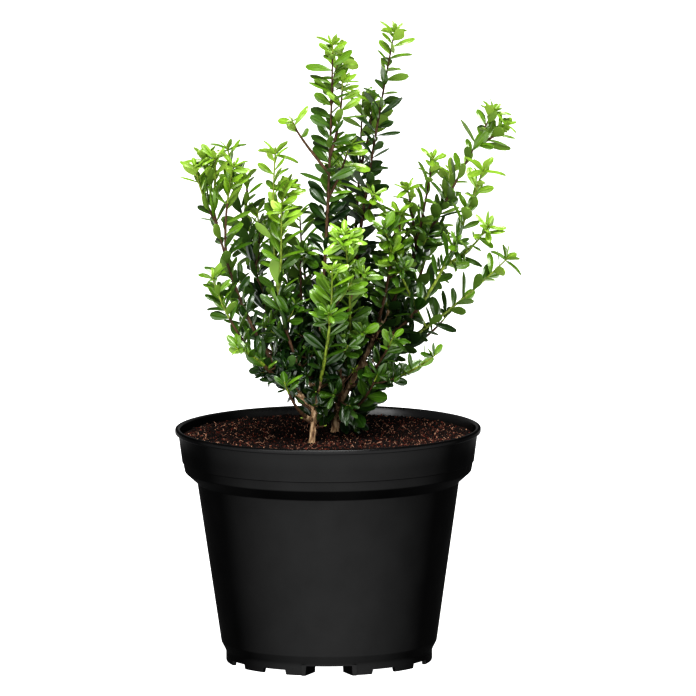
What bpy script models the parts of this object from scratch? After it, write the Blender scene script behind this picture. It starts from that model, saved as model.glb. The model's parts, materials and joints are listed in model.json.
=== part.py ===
"""A potted Japanese holly: a young evergreen shrub of two stems in a round black nursery pot.

The pot stands on the ground with its axis on +Z, the picture's right is +X and its back is +Y.
Each shoot of the plant is one smooth curve, from its parent limb to the tip of its topmost leaf.
The bare foot of that curve is a stem or a bough, and the rest is a mass of twigs and leaves.
"""
import math
import random

import bmesh
import bpy
from mathutils import Matrix, Vector, kdtree

MM = 0.001
CLEARANCE = 0.3 * MM  # gap between neighbouring solids

# Pot, turned about its axis
POT_HEIGHT = 146 * MM
POT_STEPS = 40
RIM_RADIUS = 95 * MM
RIM_DEPTH = 3.2 * MM
RIM_OVERHANG = 2.0 * MM
RIM_ROUND = 0.7 * MM
WALL = 1.7 * MM
COLLAR_FOOT_Z = 125.3 * MM
COLLAR_FOOT_RADIUS = 90.7 * MM
BAND_STEP = 0.6 * MM
BAND_FOOT_Z = 119.3 * MM
BAND_FOOT_RADIUS = 89.1 * MM
SHOULDER_Z = 112.4 * MM
SHOULDER_RADIUS = 81.4 * MM
BODY_FOOT_Z = 12.5 * MM
BODY_FOOT_RADIUS = 67.0 * MM
FOOT_RADIUS = 64.1 * MM
FOOT_TOP_Z = 6.8 * MM
FOOT_ROUND = 1.0 * MM
SKIRT = 2.6 * MM
BASE_Z = 6.4 * MM
FLOOR_Z = 9.2 * MM
FLOOR_ROUND = 2 * MM
PAD_RADIUS = 12 * MM

# Notches in the foot skirt, with bearings from the front in degrees. Each is a wedge given
# by its inner and outer radius, its half width at both, its height, and how far it narrows upward.
DEEP_NOTCH = ((46 * MM, 8.2 * MM), (70 * MM, 18.2 * MM), 6.1 * MM, 0.93)
SMALL_NOTCH = ((56 * MM, 8.4 * MM), (70 * MM, 10.2 * MM), 3.1 * MM, 0.84)
CHANNEL = ((48 * MM, 10.8 * MM), (62.8 * MM, 17.0 * MM), 6.8 * MM, 1.0)
DEEP_BEARINGS = (0, 180)
SMALL_BEARINGS = (32.2, 62.1)
DRAIN_COUNT = 6
DRAIN_RADIUS = 4.5 * MM
DRAIN_CIRCLE = 33 * MM
DRAIN_SIDES = 12

# Potting soil, a low mound that fills the pot
SOIL_TOP_Z = 141.9 * MM
SOIL_DROP = 1.5 * MM
SOIL_RINGS = 3
SOIL_GAP = 1.2 * CLEARANCE
SEAT_DEPTH = 0.8 * MM
SEAT_MARGIN = 0.5 * MM
SEAT_SIDES = 12

# Stems and boughs, with a step between rings, and curve bevel steps for smoothness
LIMB_STEP = 9 * MM
STEM_SMOOTHNESS = 2
BOUGH_SMOOTHNESS = 1
FLARE_HEIGHT = 3.5 * MM
FLARE = 0.45
FOOT_GAP = 1.15 * CLEARANCE
BARK_ANGLE = 50
WELD = 0.0001 * MM

# Twigs
SEED = 24
TWIG_STEP = 24 * MM
TWIG_RADIUS = 1.3 * MM
TWIG_TIP_RADIUS = 0.75 * MM
SPUR_RADIUS = 1.1 * MM
TWIGLET_RADIUS = 0.91 * MM
TWIGLET_LENGTH = 26 * MM
TWIGLET_CHANGE = 0.2
TWIGLET_SPACING = 40 * MM
TWIGLET_SPREAD = math.radians(41)
TWIGLET_BOW = 0.05

# Leaves, fewer and larger than on the real shrub. Each CHANGE is a share or an angle that
# the seeded rule may add or take away.
LEAF_LENGTH = 22 * MM
LEAF_WIDTH = 11.5 * MM
LEAF_THICKNESS = 1.2 * MM
LEAF_WIDEST = 0.62
LEAF_SPACING = 7.4 * MM
TIP_CROWDING = 0.5
CLOSING = (1.0, 0.75, 0.5)
LEAF_SPREAD = math.radians(56)
TIP_LEAF_SPREAD = math.radians(46)
TIP_LEAF_SIZE = 0.75
TIP_LEAF_REACH = 0.6
TIP_LEAF_FACING = Vector((0.3, -1, 0.2))
GOLDEN_TURN = math.radians(137.5)
SPREAD_CHANGE = 0.15
SIZE_CHANGE = 0.12
ROLL_CHANGE = 0.4
TURN_CHANGE = 0.25
SPACING_CHANGE = 0.1
FIRST_LEAF = 2.5 * MM
ROOT_DEPTH = 2 * MM

# The room between masses, and the step between points that are tested for it
OWN_SPACE_MARGIN = 0.35 * MM
SAMPLE_STEP = 1.2 * MM

BLACK = (0.012, 0.012, 0.013)
SOIL_COLOUR = (0.03, 0.012, 0.008)
BARK_COLOUR = (0.19, 0.14, 0.09)
LEAF_COLOUR = (0.07, 0.16, 0.02)


def place(x, y, z):
    """A point or a reach of the plant, given in millimetres."""
    return Vector((x, y, z)) * MM


def shoot(name, start, tip, bow, bare=0.2, radius=1.4, parent=None, spurs=()):
    """One shoot: start is the share of its parent's curve at which it leaves it, or a point.

    bow is how far its middle lies off the straight line, bare the share of it with no leaves,
    and radius that of its foot in millimetres. spurs are the (start, tip, bow) of side shoots.
    """
    return {
        "name": name,
        "parent": parent,
        "start": start,
        "tip": place(*tip),
        "bow": place(*bow),
        "bare": bare,
        "radius": radius * MM,
        "spurs": spurs,
    }


SHOOTS = [
    shoot(
        "left_stem",
        start=(-10.1, -38, 140.6),
        tip=(4.4, -10, 393.5),
        bow=(2.4, 0, 0),
        bare=0.36,
        radius=1.9,
        spurs=[
            (0.83, (11.6, 12, 383), (-1.8, 0.4, 1.1)),
            (0.66, (-20.7, -22, 343.5), (-7.4, -0.5, 7)),
        ],
    ),
    shoot(
        "right_stem",
        start=(4.2, 3, 141.4),
        tip=(43.9, 12, 398.5),
        bow=(-2.9, 0, 0.8),
        bare=0.34,
        radius=2.4,
        spurs=[(0.52, (30.2, -8, 297), (1.4, 0.1, -0.4))],
    ),
    # The left side, from the left stem
    shoot(
        "left_outer",
        parent="left_stem",
        start=0.09,
        tip=(-76, -22, 326),
        bow=(-10, -5, -18),
        bare=0.24,
        radius=1.6,
        spurs=[(0.66, (-56, -36, 322), (-3, 0, -3))],
    ),
    shoot(
        "left_upper",
        parent="left_outer",
        start=0.14,
        tip=(-62.6, 22, 325),
        bow=(-2, 4, -6),
        bare=0.16,
    ),
    shoot(
        "left_low",
        parent="left_outer",
        start=0.07,
        tip=(-72.5, -48, 253),
        bow=(-7, -4, -6),
        bare=0.16,
        spurs=[(0.24, (-59.8, -66, 206.6), (1.6, 0, 1.9))],
    ),
    shoot(
        "left_inner",
        parent="left_stem",
        start=0.13,
        tip=(-31, -12, 328.6),
        bow=(-10.7, -10, -18),
        bare=0.22,
        spurs=[
            (0.5, (-28, -42, 293.5), (0.7, 0, 0)),
            (0.64, (-25, 8, 300.5), (2.6, 0, 0.3)),
        ],
    ),
    shoot(
        "front_left",
        parent="left_stem",
        start=0.11,
        tip=(2.9, -62, 259.4),
        bow=(3.3, -7.7, 0),
        bare=0.14,
        radius=1.3,
    ),
    shoot(
        "left_centre",
        parent="left_stem",
        start=0.2,
        tip=(-15, -16, 268),
        bow=(-5, 2, -6),
        bare=0.14,
        radius=1.2,
    ),
    shoot(
        "low_left",
        parent="left_stem",
        start=0.06,
        tip=(-28, -64, 188),
        bow=(-1, -4, -5),
        bare=0.22,
        radius=1.1,
    ),
    # The back of the left side
    shoot(
        "back_left",
        parent="left_stem",
        start=0.15,
        tip=(-48, 55, 271.6),
        bow=(-7, 12, -10),
        bare=0.24,
    ),
    shoot(
        "back_left_low",
        parent="back_left",
        start=0.17,
        tip=(-56, 36, 222),
        bow=(-6, 4, -8),
        bare=0.14,
        radius=1.2,
    ),
    # The middle, from the right stem
    shoot(
        "front_centre",
        parent="right_stem",
        start=0.09,
        tip=(9.7, -52, 281),
        bow=(5.7, -6.7, -6.4),
        bare=0.2,
        radius=1.5,
    ),
    shoot(
        "front_low",
        parent="right_stem",
        start=0.05,
        tip=(8, -42, 214),
        bow=(1, -9, -7),
        bare=0.2,
        radius=1.2,
    ),
    shoot(
        "centre",
        parent="right_stem",
        start=0.17,
        tip=(22.8, 42, 355),
        bow=(1.7, 5.9, -6),
        bare=0.22,
    ),
    shoot(
        "back_mid_left",
        parent="right_stem",
        start=0.12,
        tip=(-17, 62, 280),
        bow=(-6, 12, -10),
        bare=0.22,
    ),
    shoot(
        "back_mid",
        parent="right_stem",
        start=0.075,
        tip=(12, 72, 305),
        bow=(2, 16, -14),
        bare=0.22,
        radius=1.5,
    ),
    shoot(
        "back_low",
        parent="back_mid",
        start=0.12,
        tip=(6, 84, 222),
        bow=(-2, 7, -9),
        bare=0.16,
        radius=1.2,
    ),
    # The right side, on its own main bough
    shoot(
        "right_long",
        parent="right_stem",
        start=0.06,
        tip=(106.5, 14, 347),
        bow=(-0.6, 0, -0.4),
        bare=0.32,
        radius=2.0,
        spurs=[
            (0.47, (66.7, -14, 321.3), (0.7, 0, 0)),
            (0.62, (77, 34, 308), (2.1, -1.2, -2)),
        ],
    ),
    shoot(
        "right_mid",
        parent="right_long",
        start=0.22,
        tip=(99.5, -26, 319.3),
        bow=(0.6, 2.5, -26),
        bare=0.18,
        spurs=[(0.62, (102, -44, 281.2), (2.1, 0, -2.3))],
    ),
    shoot(
        "right_outer",
        parent="right_long",
        start=0.14,
        tip=(117, 16, 254),
        bow=(-2.2, 2, -8.5),
        bare=0.18,
        spurs=[(0.45, (37.7, -22, 263.5), (-0.8, 0, 0.4))],
    ),
    shoot(
        "right_low",
        parent="right_long",
        start=0.08,
        tip=(70.6, -46, 201),
        bow=(-0.7, -3.7, -6.4),
        bare=0.24,
        radius=1.2,
    ),
    shoot(
        "right_centre",
        parent="right_long",
        start=0.2,
        tip=(43, -16, 283),
        bow=(2, -3, -6),
        bare=0.14,
        radius=1.2,
    ),
    shoot(
        "right_front_low",
        parent="right_low",
        start=0.1,
        tip=(43, -50, 214),
        bow=(-1, -5, -5),
        bare=0.2,
        radius=1.1,
    ),
    shoot(
        "low_right",
        parent="right_stem",
        start=0.035,
        tip=(33, -36, 190),
        bow=(2, -5, -5),
        bare=0.22,
        radius=1.1,
    ),
    # The back of the right side
    shoot(
        "back_mid_right",
        parent="right_long",
        start=0.18,
        tip=(42, 66, 258),
        bow=(2, 10, -12),
        bare=0.2,
    ),
    shoot(
        "back_right",
        parent="right_long",
        start=0.26,
        tip=(66, 48, 272),
        bow=(6, 8, -10),
        bare=0.18,
        radius=1.3,
    ),
    shoot(
        "back_right_low",
        parent="right_outer",
        start=0.12,
        tip=(78, 46, 214),
        bow=(3, 6, -6),
        bare=0.14,
        radius=1.1,
    ),
]


# Helpers


def make_collection(name, hidden=False):
    collection = bpy.data.collections.new(name)
    bpy.context.scene.collection.children.link(collection)
    collection.hide_render = hidden
    return collection


def make_material(name, colour, roughness, metallic=0.0):
    material = bpy.data.materials.new(name)
    material.use_nodes = True
    shader = material.node_tree.nodes["Principled BSDF"]
    shader.inputs["Base Color"].default_value = (*colour, 1.0)
    shader.inputs["Roughness"].default_value = roughness
    shader.inputs["Metallic"].default_value = metallic
    material.diffuse_color = (*colour, 1.0)
    return material


def make_object(name, mesh, collection, material=None):
    thing = bpy.data.objects.new(name, mesh)
    collection.objects.link(thing)
    if material:
        mesh.materials.clear()
        mesh.materials.append(material)
    return thing


def mesh_from_bmesh(name, shape):
    mesh = bpy.data.meshes.new(name)
    shape.to_mesh(mesh)
    shape.free()
    return mesh


def smooth_round(mesh, angle=35):
    mesh.shade_smooth()
    mesh.set_sharp_from_angle(angle=math.radians(angle))


def evaluated_mesh(thing):
    """The mesh of a curve or of an object with modifiers, as a new mesh."""
    graph = bpy.context.evaluated_depsgraph_get()
    return bpy.data.meshes.new_from_object(thing.evaluated_get(graph))


def as_cutter(thing):
    thing.hide_render = True
    thing.display_type = "WIRE"
    return thing


def discard(thing):
    data = thing.data
    bpy.data.objects.remove(thing, do_unlink=True)
    if data.users == 0 and isinstance(data, bpy.types.Mesh):
        bpy.data.meshes.remove(data)


def turned(name, profile, collection, material, steps):
    """A solid turned about Z from (radius, height) pairs that run down its outer side."""
    mesh = bpy.data.meshes.new(name)
    rows = [(radius, 0.0, height) for radius, height in profile]
    edges = [(i, i + 1) for i in range(len(rows) - 1)]
    mesh.from_pydata(rows, edges, [])
    thing = make_object(name, mesh, collection, material)
    screw = thing.modifiers.new("turn", "SCREW")
    screw.axis = "Z"
    screw.steps = steps
    screw.render_steps = steps
    screw.use_merge_vertices = True
    screw.merge_threshold = 0.00001
    screw.use_smooth_shade = True
    return thing


# Pot


def pot_profile():
    """From the middle of the floor up the inner wall, over the rim and down the outer side."""
    lip_foot_z = POT_HEIGHT - RIM_DEPTH
    collar_top = RIM_RADIUS - RIM_OVERHANG
    inner = [
        (0, FLOOR_Z),
        (BODY_FOOT_RADIUS - WALL - FLOOR_ROUND, FLOOR_Z),
        (BODY_FOOT_RADIUS - WALL, BODY_FOOT_Z),
        (SHOULDER_RADIUS - WALL, SHOULDER_Z + WALL / 2),
        (BAND_FOOT_RADIUS - WALL, BAND_FOOT_Z + WALL / 2),
        (collar_top - WALL, lip_foot_z),
        (collar_top - WALL + RIM_ROUND, POT_HEIGHT),
    ]
    rim = [
        (RIM_RADIUS - RIM_ROUND, POT_HEIGHT),
        (RIM_RADIUS, POT_HEIGHT - RIM_ROUND),
        (RIM_RADIUS, lip_foot_z + RIM_ROUND),
        (RIM_RADIUS - RIM_ROUND, lip_foot_z),
        (collar_top, lip_foot_z),
    ]
    outer = [
        (COLLAR_FOOT_RADIUS, COLLAR_FOOT_Z),
        (COLLAR_FOOT_RADIUS - BAND_STEP, COLLAR_FOOT_Z - BAND_STEP / 2),
        (BAND_FOOT_RADIUS, BAND_FOOT_Z),
        (BAND_FOOT_RADIUS - RIM_ROUND, BAND_FOOT_Z - RIM_ROUND),
        (SHOULDER_RADIUS, SHOULDER_Z),
        (BODY_FOOT_RADIUS, BODY_FOOT_Z),
        (FOOT_RADIUS + (BODY_FOOT_RADIUS - FOOT_RADIUS) / 3, (BODY_FOOT_Z + FOOT_TOP_Z) / 2),
        (FOOT_RADIUS, FOOT_TOP_Z),
    ]
    foot = [
        (FOOT_RADIUS, FOOT_ROUND),
        (FOOT_RADIUS - FOOT_ROUND, 0),
        (FOOT_RADIUS - SKIRT, 0),
        (FOOT_RADIUS - SKIRT, BASE_Z),
        (PAD_RADIUS, BASE_Z),
        (PAD_RADIUS, 0),
        (0, 0),
    ]
    return inner + rim + outer + foot


def wedge(name, sizes, bearing, collection):
    """A helper block across the foot skirt, at a bearing from the front."""
    (inner_radius, inner_half), (outer_radius, outer_half), height, slant = sizes
    shape = bmesh.new()
    bmesh.ops.create_cube(shape, size=2)
    for vert in shape.verts:
        outside = vert.co.y < 0
        above = vert.co.z > 0
        half_width = outer_half if outside else inner_half
        if above:
            half_width *= slant
        vert.co.x = math.copysign(half_width, vert.co.x)
        vert.co.y = -outer_radius if outside else -inner_radius
        vert.co.z = height if above else -height
    turn = Matrix.Rotation(math.radians(bearing), 4, "Z")
    bmesh.ops.transform(shape, matrix=turn, verts=shape.verts)
    return as_cutter(make_object(name, mesh_from_bmesh(name, shape), collection))


def drain_cutter(index, collection):
    """A round drain hole through the base, between the pad and the foot ring."""
    shape = bmesh.new()
    bmesh.ops.create_cone(
        shape,
        cap_ends=True,
        segments=DRAIN_SIDES,
        radius1=DRAIN_RADIUS,
        radius2=DRAIN_RADIUS,
        depth=2 * FLOOR_Z,
    )
    bearing = math.tau * (index + 0.5) / DRAIN_COUNT
    offset = Vector((math.sin(bearing), -math.cos(bearing), 0)) * DRAIN_CIRCLE
    offset.z = FLOOR_Z
    bmesh.ops.translate(shape, verts=shape.verts, vec=offset)
    name = f"cutter_drain_{index + 1}"
    return as_cutter(make_object(name, mesh_from_bmesh(name, shape), collection))


def helper_boolean(thing, name, operation, collection):
    change = thing.modifiers.new(name, "BOOLEAN")
    change.operation = operation
    change.operand_type = "COLLECTION"
    change.collection = collection


def build_pot(parts, channels, cutters):
    """The turned pot, with a walled drain channel behind each deep notch of its skirt."""
    black = make_material("black_plastic", BLACK, 0.42)
    pot = turned("pot", pot_profile(), parts, black, POT_STEPS)
    for bearing in DEEP_BEARINGS:
        block = wedge(f"channel_{bearing}", CHANNEL, bearing, channels)
        for vert in block.data.vertices:
            vert.co.z = max(vert.co.z, 0.0)
        wedge(f"cutter_deep_notch_{bearing}", DEEP_NOTCH, bearing, cutters)
    for side in SMALL_BEARINGS:
        for bearing in (side, 180 - side, 180 + side, 360 - side):
            wedge(f"cutter_notch_{bearing:.0f}", SMALL_NOTCH, bearing, cutters)
    for index in range(DRAIN_COUNT):
        drain_cutter(index, cutters)
    helper_boolean(pot, "channels", "UNION", channels)
    helper_boolean(pot, "notches_and_drains", "DIFFERENCE", cutters)
    return pot


# Soil


def ground_height(x, y):
    """Height of the soil at a place on its mound."""
    return SOIL_TOP_Z - SOIL_DROP * (x * x + y * y) / RIM_RADIUS**2


def soil_profile():
    """From the top of the mound out to the wall, and down beside it to the floor."""
    collar_top = RIM_RADIUS - RIM_OVERHANG
    lip_foot_z = POT_HEIGHT - RIM_DEPTH
    band_z = BAND_FOOT_Z + WALL / 2
    band_radius = BAND_FOOT_RADIUS - WALL
    slope = (collar_top - WALL - band_radius) / (lip_foot_z - band_z)
    edge_z = ground_height(collar_top, 0)
    edge_radius = band_radius + slope * (edge_z - band_z) - CLEARANCE
    top = []
    for ring in range(SOIL_RINGS + 1):
        radius = edge_radius * ring / SOIL_RINGS
        top.append((radius, ground_height(radius, 0)))
    gap = SOIL_GAP
    side = [
        (band_radius - gap, band_z + gap / 2),
        (SHOULDER_RADIUS - WALL - gap, SHOULDER_Z + WALL / 2 + gap / 2),
        (BODY_FOOT_RADIUS - WALL - gap, BODY_FOOT_Z + gap / 2),
        (BODY_FOOT_RADIUS - WALL - FLOOR_ROUND - gap, FLOOR_Z + CLEARANCE),
        (0, FLOOR_Z + CLEARANCE),
    ]
    return top + side


def build_soil(parts, cutters):
    brown = make_material("potting_soil", SOIL_COLOUR, 0.95)
    soil = turned("potting_soil", soil_profile(), parts, brown, POT_STEPS)
    for stem in SHOOTS:
        if stem["parent"]:
            continue
        foot = stem["curve"][0]
        seat_radius = stem["radius"] * (1 + FLARE) + SEAT_MARGIN
        shape = bmesh.new()
        bmesh.ops.create_cone(
            shape,
            cap_ends=True,
            segments=SEAT_SIDES,
            radius1=seat_radius,
            radius2=seat_radius,
            depth=4 * SEAT_DEPTH,
        )
        floor_z = ground_height(foot.x, foot.y) - SEAT_DEPTH
        middle = Vector((foot.x, foot.y, floor_z + 2 * SEAT_DEPTH))
        bmesh.ops.translate(shape, verts=shape.verts, vec=middle)
        name = f"cutter_seat_{stem['name']}"
        cutter = as_cutter(make_object(name, mesh_from_bmesh(name, shape), cutters))
        seat = soil.modifiers.new(f"seat_{stem['name']}", "BOOLEAN")
        seat.operation = "DIFFERENCE"
        seat.object = cutter
    return soil


# The curves that limbs and twigs follow


def curve_at(curve, t):
    """A point at share t of a (root, tip, bow) curve."""
    root, tip, bow = curve
    middle = (root + tip) / 2 + 2 * bow
    return root * (1 - t) ** 2 + middle * 2 * t * (1 - t) + tip * t**2


def heading(curve, t):
    """The direction of the curve at share t."""
    root, tip, bow = curve
    middle = (root + tip) / 2 + 2 * bow
    return ((middle - root) * (1 - t) + (tip - middle) * t).normalized()


def sideways(axis, turn):
    """A direction square to an axis, turned about it by an angle."""
    side = axis.orthogonal().normalized()
    side.rotate(Matrix.Rotation(turn, 3, axis))
    return side


def curve_length(curve, first=0.0, last=1.0, parts=24):
    stops = [curve_at(curve, first + (last - first) * i / parts) for i in range(parts + 1)]
    return sum((b - a).length for a, b in zip(stops, stops[1:]))


def curve_shares(curve, first, last, step):
    """Shares of a curve from first to last, about step apart, both ends included."""
    count = max(2, round(curve_length(curve, first, last) / step))
    return [first + (last - first) * i / count for i in range(count + 1)]


def curve_points(curve, first, last, step):
    return [curve_at(curve, t) for t in curve_shares(curve, first, last, step)]


def twig_end(curve):
    """The share of a curve at which its twig ends and its last leaf goes on to the tip."""
    return 1 - TIP_LEAF_REACH * LEAF_LENGTH / curve_length(curve)


def lay_out_shoots():
    """Give each shoot its curve, its spurs' curves, and where its twig starts above the limb."""
    by_name = {}
    for one in SHOOTS:
        if one["parent"]:
            root = curve_at(by_name[one["parent"]]["curve"], one["start"])
        else:
            root = place(*one["start"])
            root.z = ground_height(root.x, root.y) - SEAT_DEPTH + CLEARANCE
        one["curve"] = (root, one["tip"], one["bow"])
        one["twig_start"] = one["bare"] + CLEARANCE / curve_length(one["curve"])
        one["spur_curves"] = []
        for start, tip, bow in one["spurs"]:
            spur_root = curve_at(one["curve"], start)
            one["spur_curves"].append((spur_root, place(*tip), place(*bow)))
        by_name[one["name"]] = one
    return by_name


# Stems and boughs


def curve_to_mesh(name, data, collection):
    """A curve made a closed mesh, with its caps welded on."""
    guide = bpy.data.objects.new(name + "_guide", data)
    collection.objects.link(guide)
    mesh = evaluated_mesh(guide)
    shape = bmesh.new()
    shape.from_mesh(mesh)
    bmesh.ops.remove_doubles(shape, verts=shape.verts, dist=WELD)
    bmesh.ops.recalc_face_normals(shape, faces=shape.faces)
    bpy.data.meshes.remove(mesh)
    thing = make_object(name, mesh_from_bmesh(name, shape), collection)
    thing.matrix_world = guide.matrix_world
    bpy.data.objects.remove(guide, do_unlink=True)
    bpy.data.curves.remove(data)
    return thing


def poly_curve(name, points, radii):
    """Curve data through the points, with a radius at each and closed ends."""
    data = bpy.data.curves.new(name, "CURVE")
    data.dimensions = "3D"
    data.use_fill_caps = True
    spline = data.splines.new("POLY")
    spline.points.add(len(points) - 1)
    for bead, point, radius in zip(spline.points, points, radii):
        bead.co = (*point, 1.0)
        bead.radius = radius
    return data


def round_tube(name, points, radii, collection, smoothness):
    """A tapering round tube through the points, as a mesh object."""
    data = poly_curve(name, points, radii)
    data.bevel_depth = 1.0
    data.bevel_resolution = smoothness
    return curve_to_mesh(name, data, collection)


def limb_radius(one, share):
    """Radius at a share of the shoot's whole curve: an even taper, and a flare at a root."""
    radius = one["radius"] + (TWIG_RADIUS - one["radius"]) * share / one["bare"]
    if one["parent"] is None:
        height = share * curve_length(one["curve"])
        radius += one["radius"] * FLARE * math.exp(-height / FLARE_HEIGHT)
    return radius


def limb_tube(name, one, collection, smoothness, extra=0.0):
    """The bare foot of a shoot as a tube, with one more ring above a stem's flare."""
    shares = curve_shares(one["curve"], 0, one["bare"], LIMB_STEP)
    if one["parent"] is None:
        shares.insert(1, FLARE_HEIGHT / curve_length(one["curve"]))
    points = [curve_at(one["curve"], share) for share in shares]
    radii = [limb_radius(one, share) + extra for share in shares]
    return round_tube(name, points, radii, collection, smoothness)


def build_stem(one, parts, bark):
    """A stem, with its lowest ring brought level as a flat cut at the ground."""
    stem = limb_tube(f"stem_{one['name'].replace('_stem', '')}", one, parts, STEM_SMOOTHNESS)
    foot_z = one["curve"][0].z
    for vert in stem.data.vertices:
        if vert.co.z < foot_z + FLARE_HEIGHT / 3:
            vert.co.z = foot_z
    stem.data.materials.append(bark)
    smooth_round(stem.data, BARK_ANGLE)


def build_bough(one, parent, parts, cutters, bark):
    """A bough whose foot is cut to the limb that it leaves."""
    name = f"bough_{one['name']}"
    bough = limb_tube(name, one, parts, BOUGH_SMOOTHNESS)
    bough.data.materials.append(bark)
    fat = limb_tube(f"cutter_{name}", parent, cutters, STEM_SMOOTHNESS, FOOT_GAP)
    cut = bough.modifiers.new("foot", "BOOLEAN")
    cut.operation = "DIFFERENCE"
    cut.object = as_cutter(fat)
    smooth_round(bough.data, BARK_ANGLE)


# The space that each mass keeps to


def tree_of(points):
    tree = kdtree.KDTree(len(points))
    for index, point in enumerate(points):
        tree.insert(point, index)
    tree.balance()
    return tree


def territories():
    """For each mass, the axes that its space lies round, and the surfaces of all limbs."""
    spaces = {}
    limbs = []
    for one in SHOOTS:
        points = curve_points(one["curve"], one["twig_start"], 1.0, SAMPLE_STEP)
        for curve in one["spur_curves"]:
            points += curve_points(curve, 0.0, 1.0, SAMPLE_STEP)
        spaces[one["name"]] = tree_of(points)
        for share in curve_shares(one["curve"], 0, one["bare"], SAMPLE_STEP):
            limbs.append((curve_at(one["curve"], share), limb_radius(one, share)))
    return spaces, limbs, tree_of([point for point, _ in limbs])


def allowed(points, name, land, clear=OWN_SPACE_MARGIN):
    """True if the points keep to the mass's own space and clear of limbs and the pot."""
    spaces, limbs, limb_tree = land
    for point in points:
        own = spaces[name].find(point)[2]
        for other, tree in spaces.items():
            if other != name and tree.find(point)[2] < own + 2 * clear:
                return False
        for _, index, distance in limb_tree.find_n(point, 3):
            if distance < limbs[index][1] + clear:
                return False
        if point.z < POT_HEIGHT + CLEARANCE:
            return False
    return True


def leaf_samples(matrix, mesh):
    """The leaf's corners, and points between its root and the rest."""
    corners = [matrix @ vert.co for vert in mesh.vertices]
    root = matrix @ Vector((0, 0, 0))
    tip = matrix @ Vector((0, 0, 1))
    return corners + [root.lerp(corner, 0.5) for corner in corners] + [root.lerp(tip, 0.3)]


def crosses_limb(matrix, land):
    """True if a limb's axis passes the leaf nearer than the limb's own radius."""
    _, limbs, limb_tree = land
    middle = matrix @ Vector((0, 0, 0.5))
    to_leaf = matrix.inverted()
    half_width, half_thickness, length = (matrix.col[i].to_3d().length for i in range(3))
    for _, index, _ in limb_tree.find_range(middle, 0.7 * LEAF_LENGTH):
        point, radius = limbs[index]
        reach = radius + OWN_SPACE_MARGIN
        x, y, z = to_leaf @ point
        beside = abs(x) * half_width < half_width + reach
        through = abs(y) * half_thickness < half_thickness + reach
        along = -reach < z * length < length + reach
        if beside and through and along:
            return True
    return False


# Foliage masses


def unit_leaf():
    """A leaf of eight faces along +Z, one unit long, broad along X, thick along Y."""
    shape = bmesh.new()
    bmesh.ops.create_uvsphere(shape, u_segments=4, v_segments=2, radius=1)
    for vert in shape.verts:
        if abs(vert.co.z) < 0.5:
            vert.co.z = LEAF_WIDEST
        else:
            vert.co.z = 0.0 if vert.co.z < 0 else 1.0
    return mesh_from_bmesh("leaf", shape)


def leaf_matrix(root, direction, upward, size, roll):
    """Places a unit leaf with its root at a point and its broad face towards upward."""
    along = direction.normalized()
    across = along.cross(upward).normalized()
    across.rotate(Matrix.Rotation(roll, 3, along))
    columns = Matrix((across, along.cross(across), along)).transposed().to_4x4()
    reach = (size * LEAF_WIDTH / 2, size * LEAF_THICKNESS / 2, size * LEAF_LENGTH, 1)
    return Matrix.Translation(root) @ columns @ Matrix.Diagonal(reach)


def leaf_places(curve, first, last, rule):
    """The leaves of one twig up to its tip, each as a few places from spread to closed up."""
    length = curve_length(curve, first, last)
    turn = rule.uniform(0, math.tau)
    along = 0.5 * LEAF_SPACING
    while along < length:
        share = along / length
        t = first + (last - first) * share
        axis = heading(curve, t)
        side = sideways(axis, turn)
        spread = LEAF_SPREAD + (TIP_LEAF_SPREAD - LEAF_SPREAD) * share**2
        spread *= 1 + rule.uniform(-SPREAD_CHANGE, SPREAD_CHANGE)
        size = 1 + (TIP_LEAF_SIZE - 1) * share**3
        size *= 1 + rule.uniform(-SIZE_CHANGE, SIZE_CHANGE)
        roll = rule.uniform(-ROLL_CHANGE, ROLL_CHANGE)
        choices = []
        for closing in CLOSING:
            lean = spread * closing
            direction = axis * math.cos(lean) + side * math.sin(lean)
            choices.append(leaf_matrix(curve_at(curve, t), direction, axis, size, roll))
        yield choices
        turn += GOLDEN_TURN + rule.uniform(-TURN_CHANGE, TURN_CHANGE)
        crowding = 1 - TIP_CROWDING * share**2
        along += LEAF_SPACING * crowding * (1 + rule.uniform(-SPACING_CHANGE, SPACING_CHANGE))
    root = curve_at(curve, last - ROOT_DEPTH / length)
    tip = curve_at(curve, 1.0)
    yield [leaf_matrix(root, tip - root, TIP_LEAF_FACING, TIP_LEAF_SIZE, 0.0)]


def twig_tube(name, curve, first, last, start_radius, collection):
    """A three-sided tapering twig along a stretch of a curve."""
    section = bpy.data.curves.new("section", "CURVE")
    section.dimensions = "2D"
    outline = section.splines.new("POLY")
    outline.points.add(2)
    for corner, bead in enumerate(outline.points):
        bearing = math.tau * corner / 3
        bead.co = (math.cos(bearing), math.sin(bearing), 0, 1)
    outline.use_cyclic_u = True
    guide = bpy.data.objects.new("section", section)
    collection.objects.link(guide)
    points = curve_points(curve, first, last, TWIG_STEP)
    thinning = (TWIG_TIP_RADIUS - start_radius) / (len(points) - 1)
    radii = [start_radius + thinning * i for i in range(len(points))]
    data = poly_curve(name, points, radii)
    data.bevel_mode = "OBJECT"
    data.bevel_object = guide
    twig = curve_to_mesh(name, data, collection)
    bpy.data.objects.remove(guide, do_unlink=True)
    bpy.data.curves.remove(section)
    return twig


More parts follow.
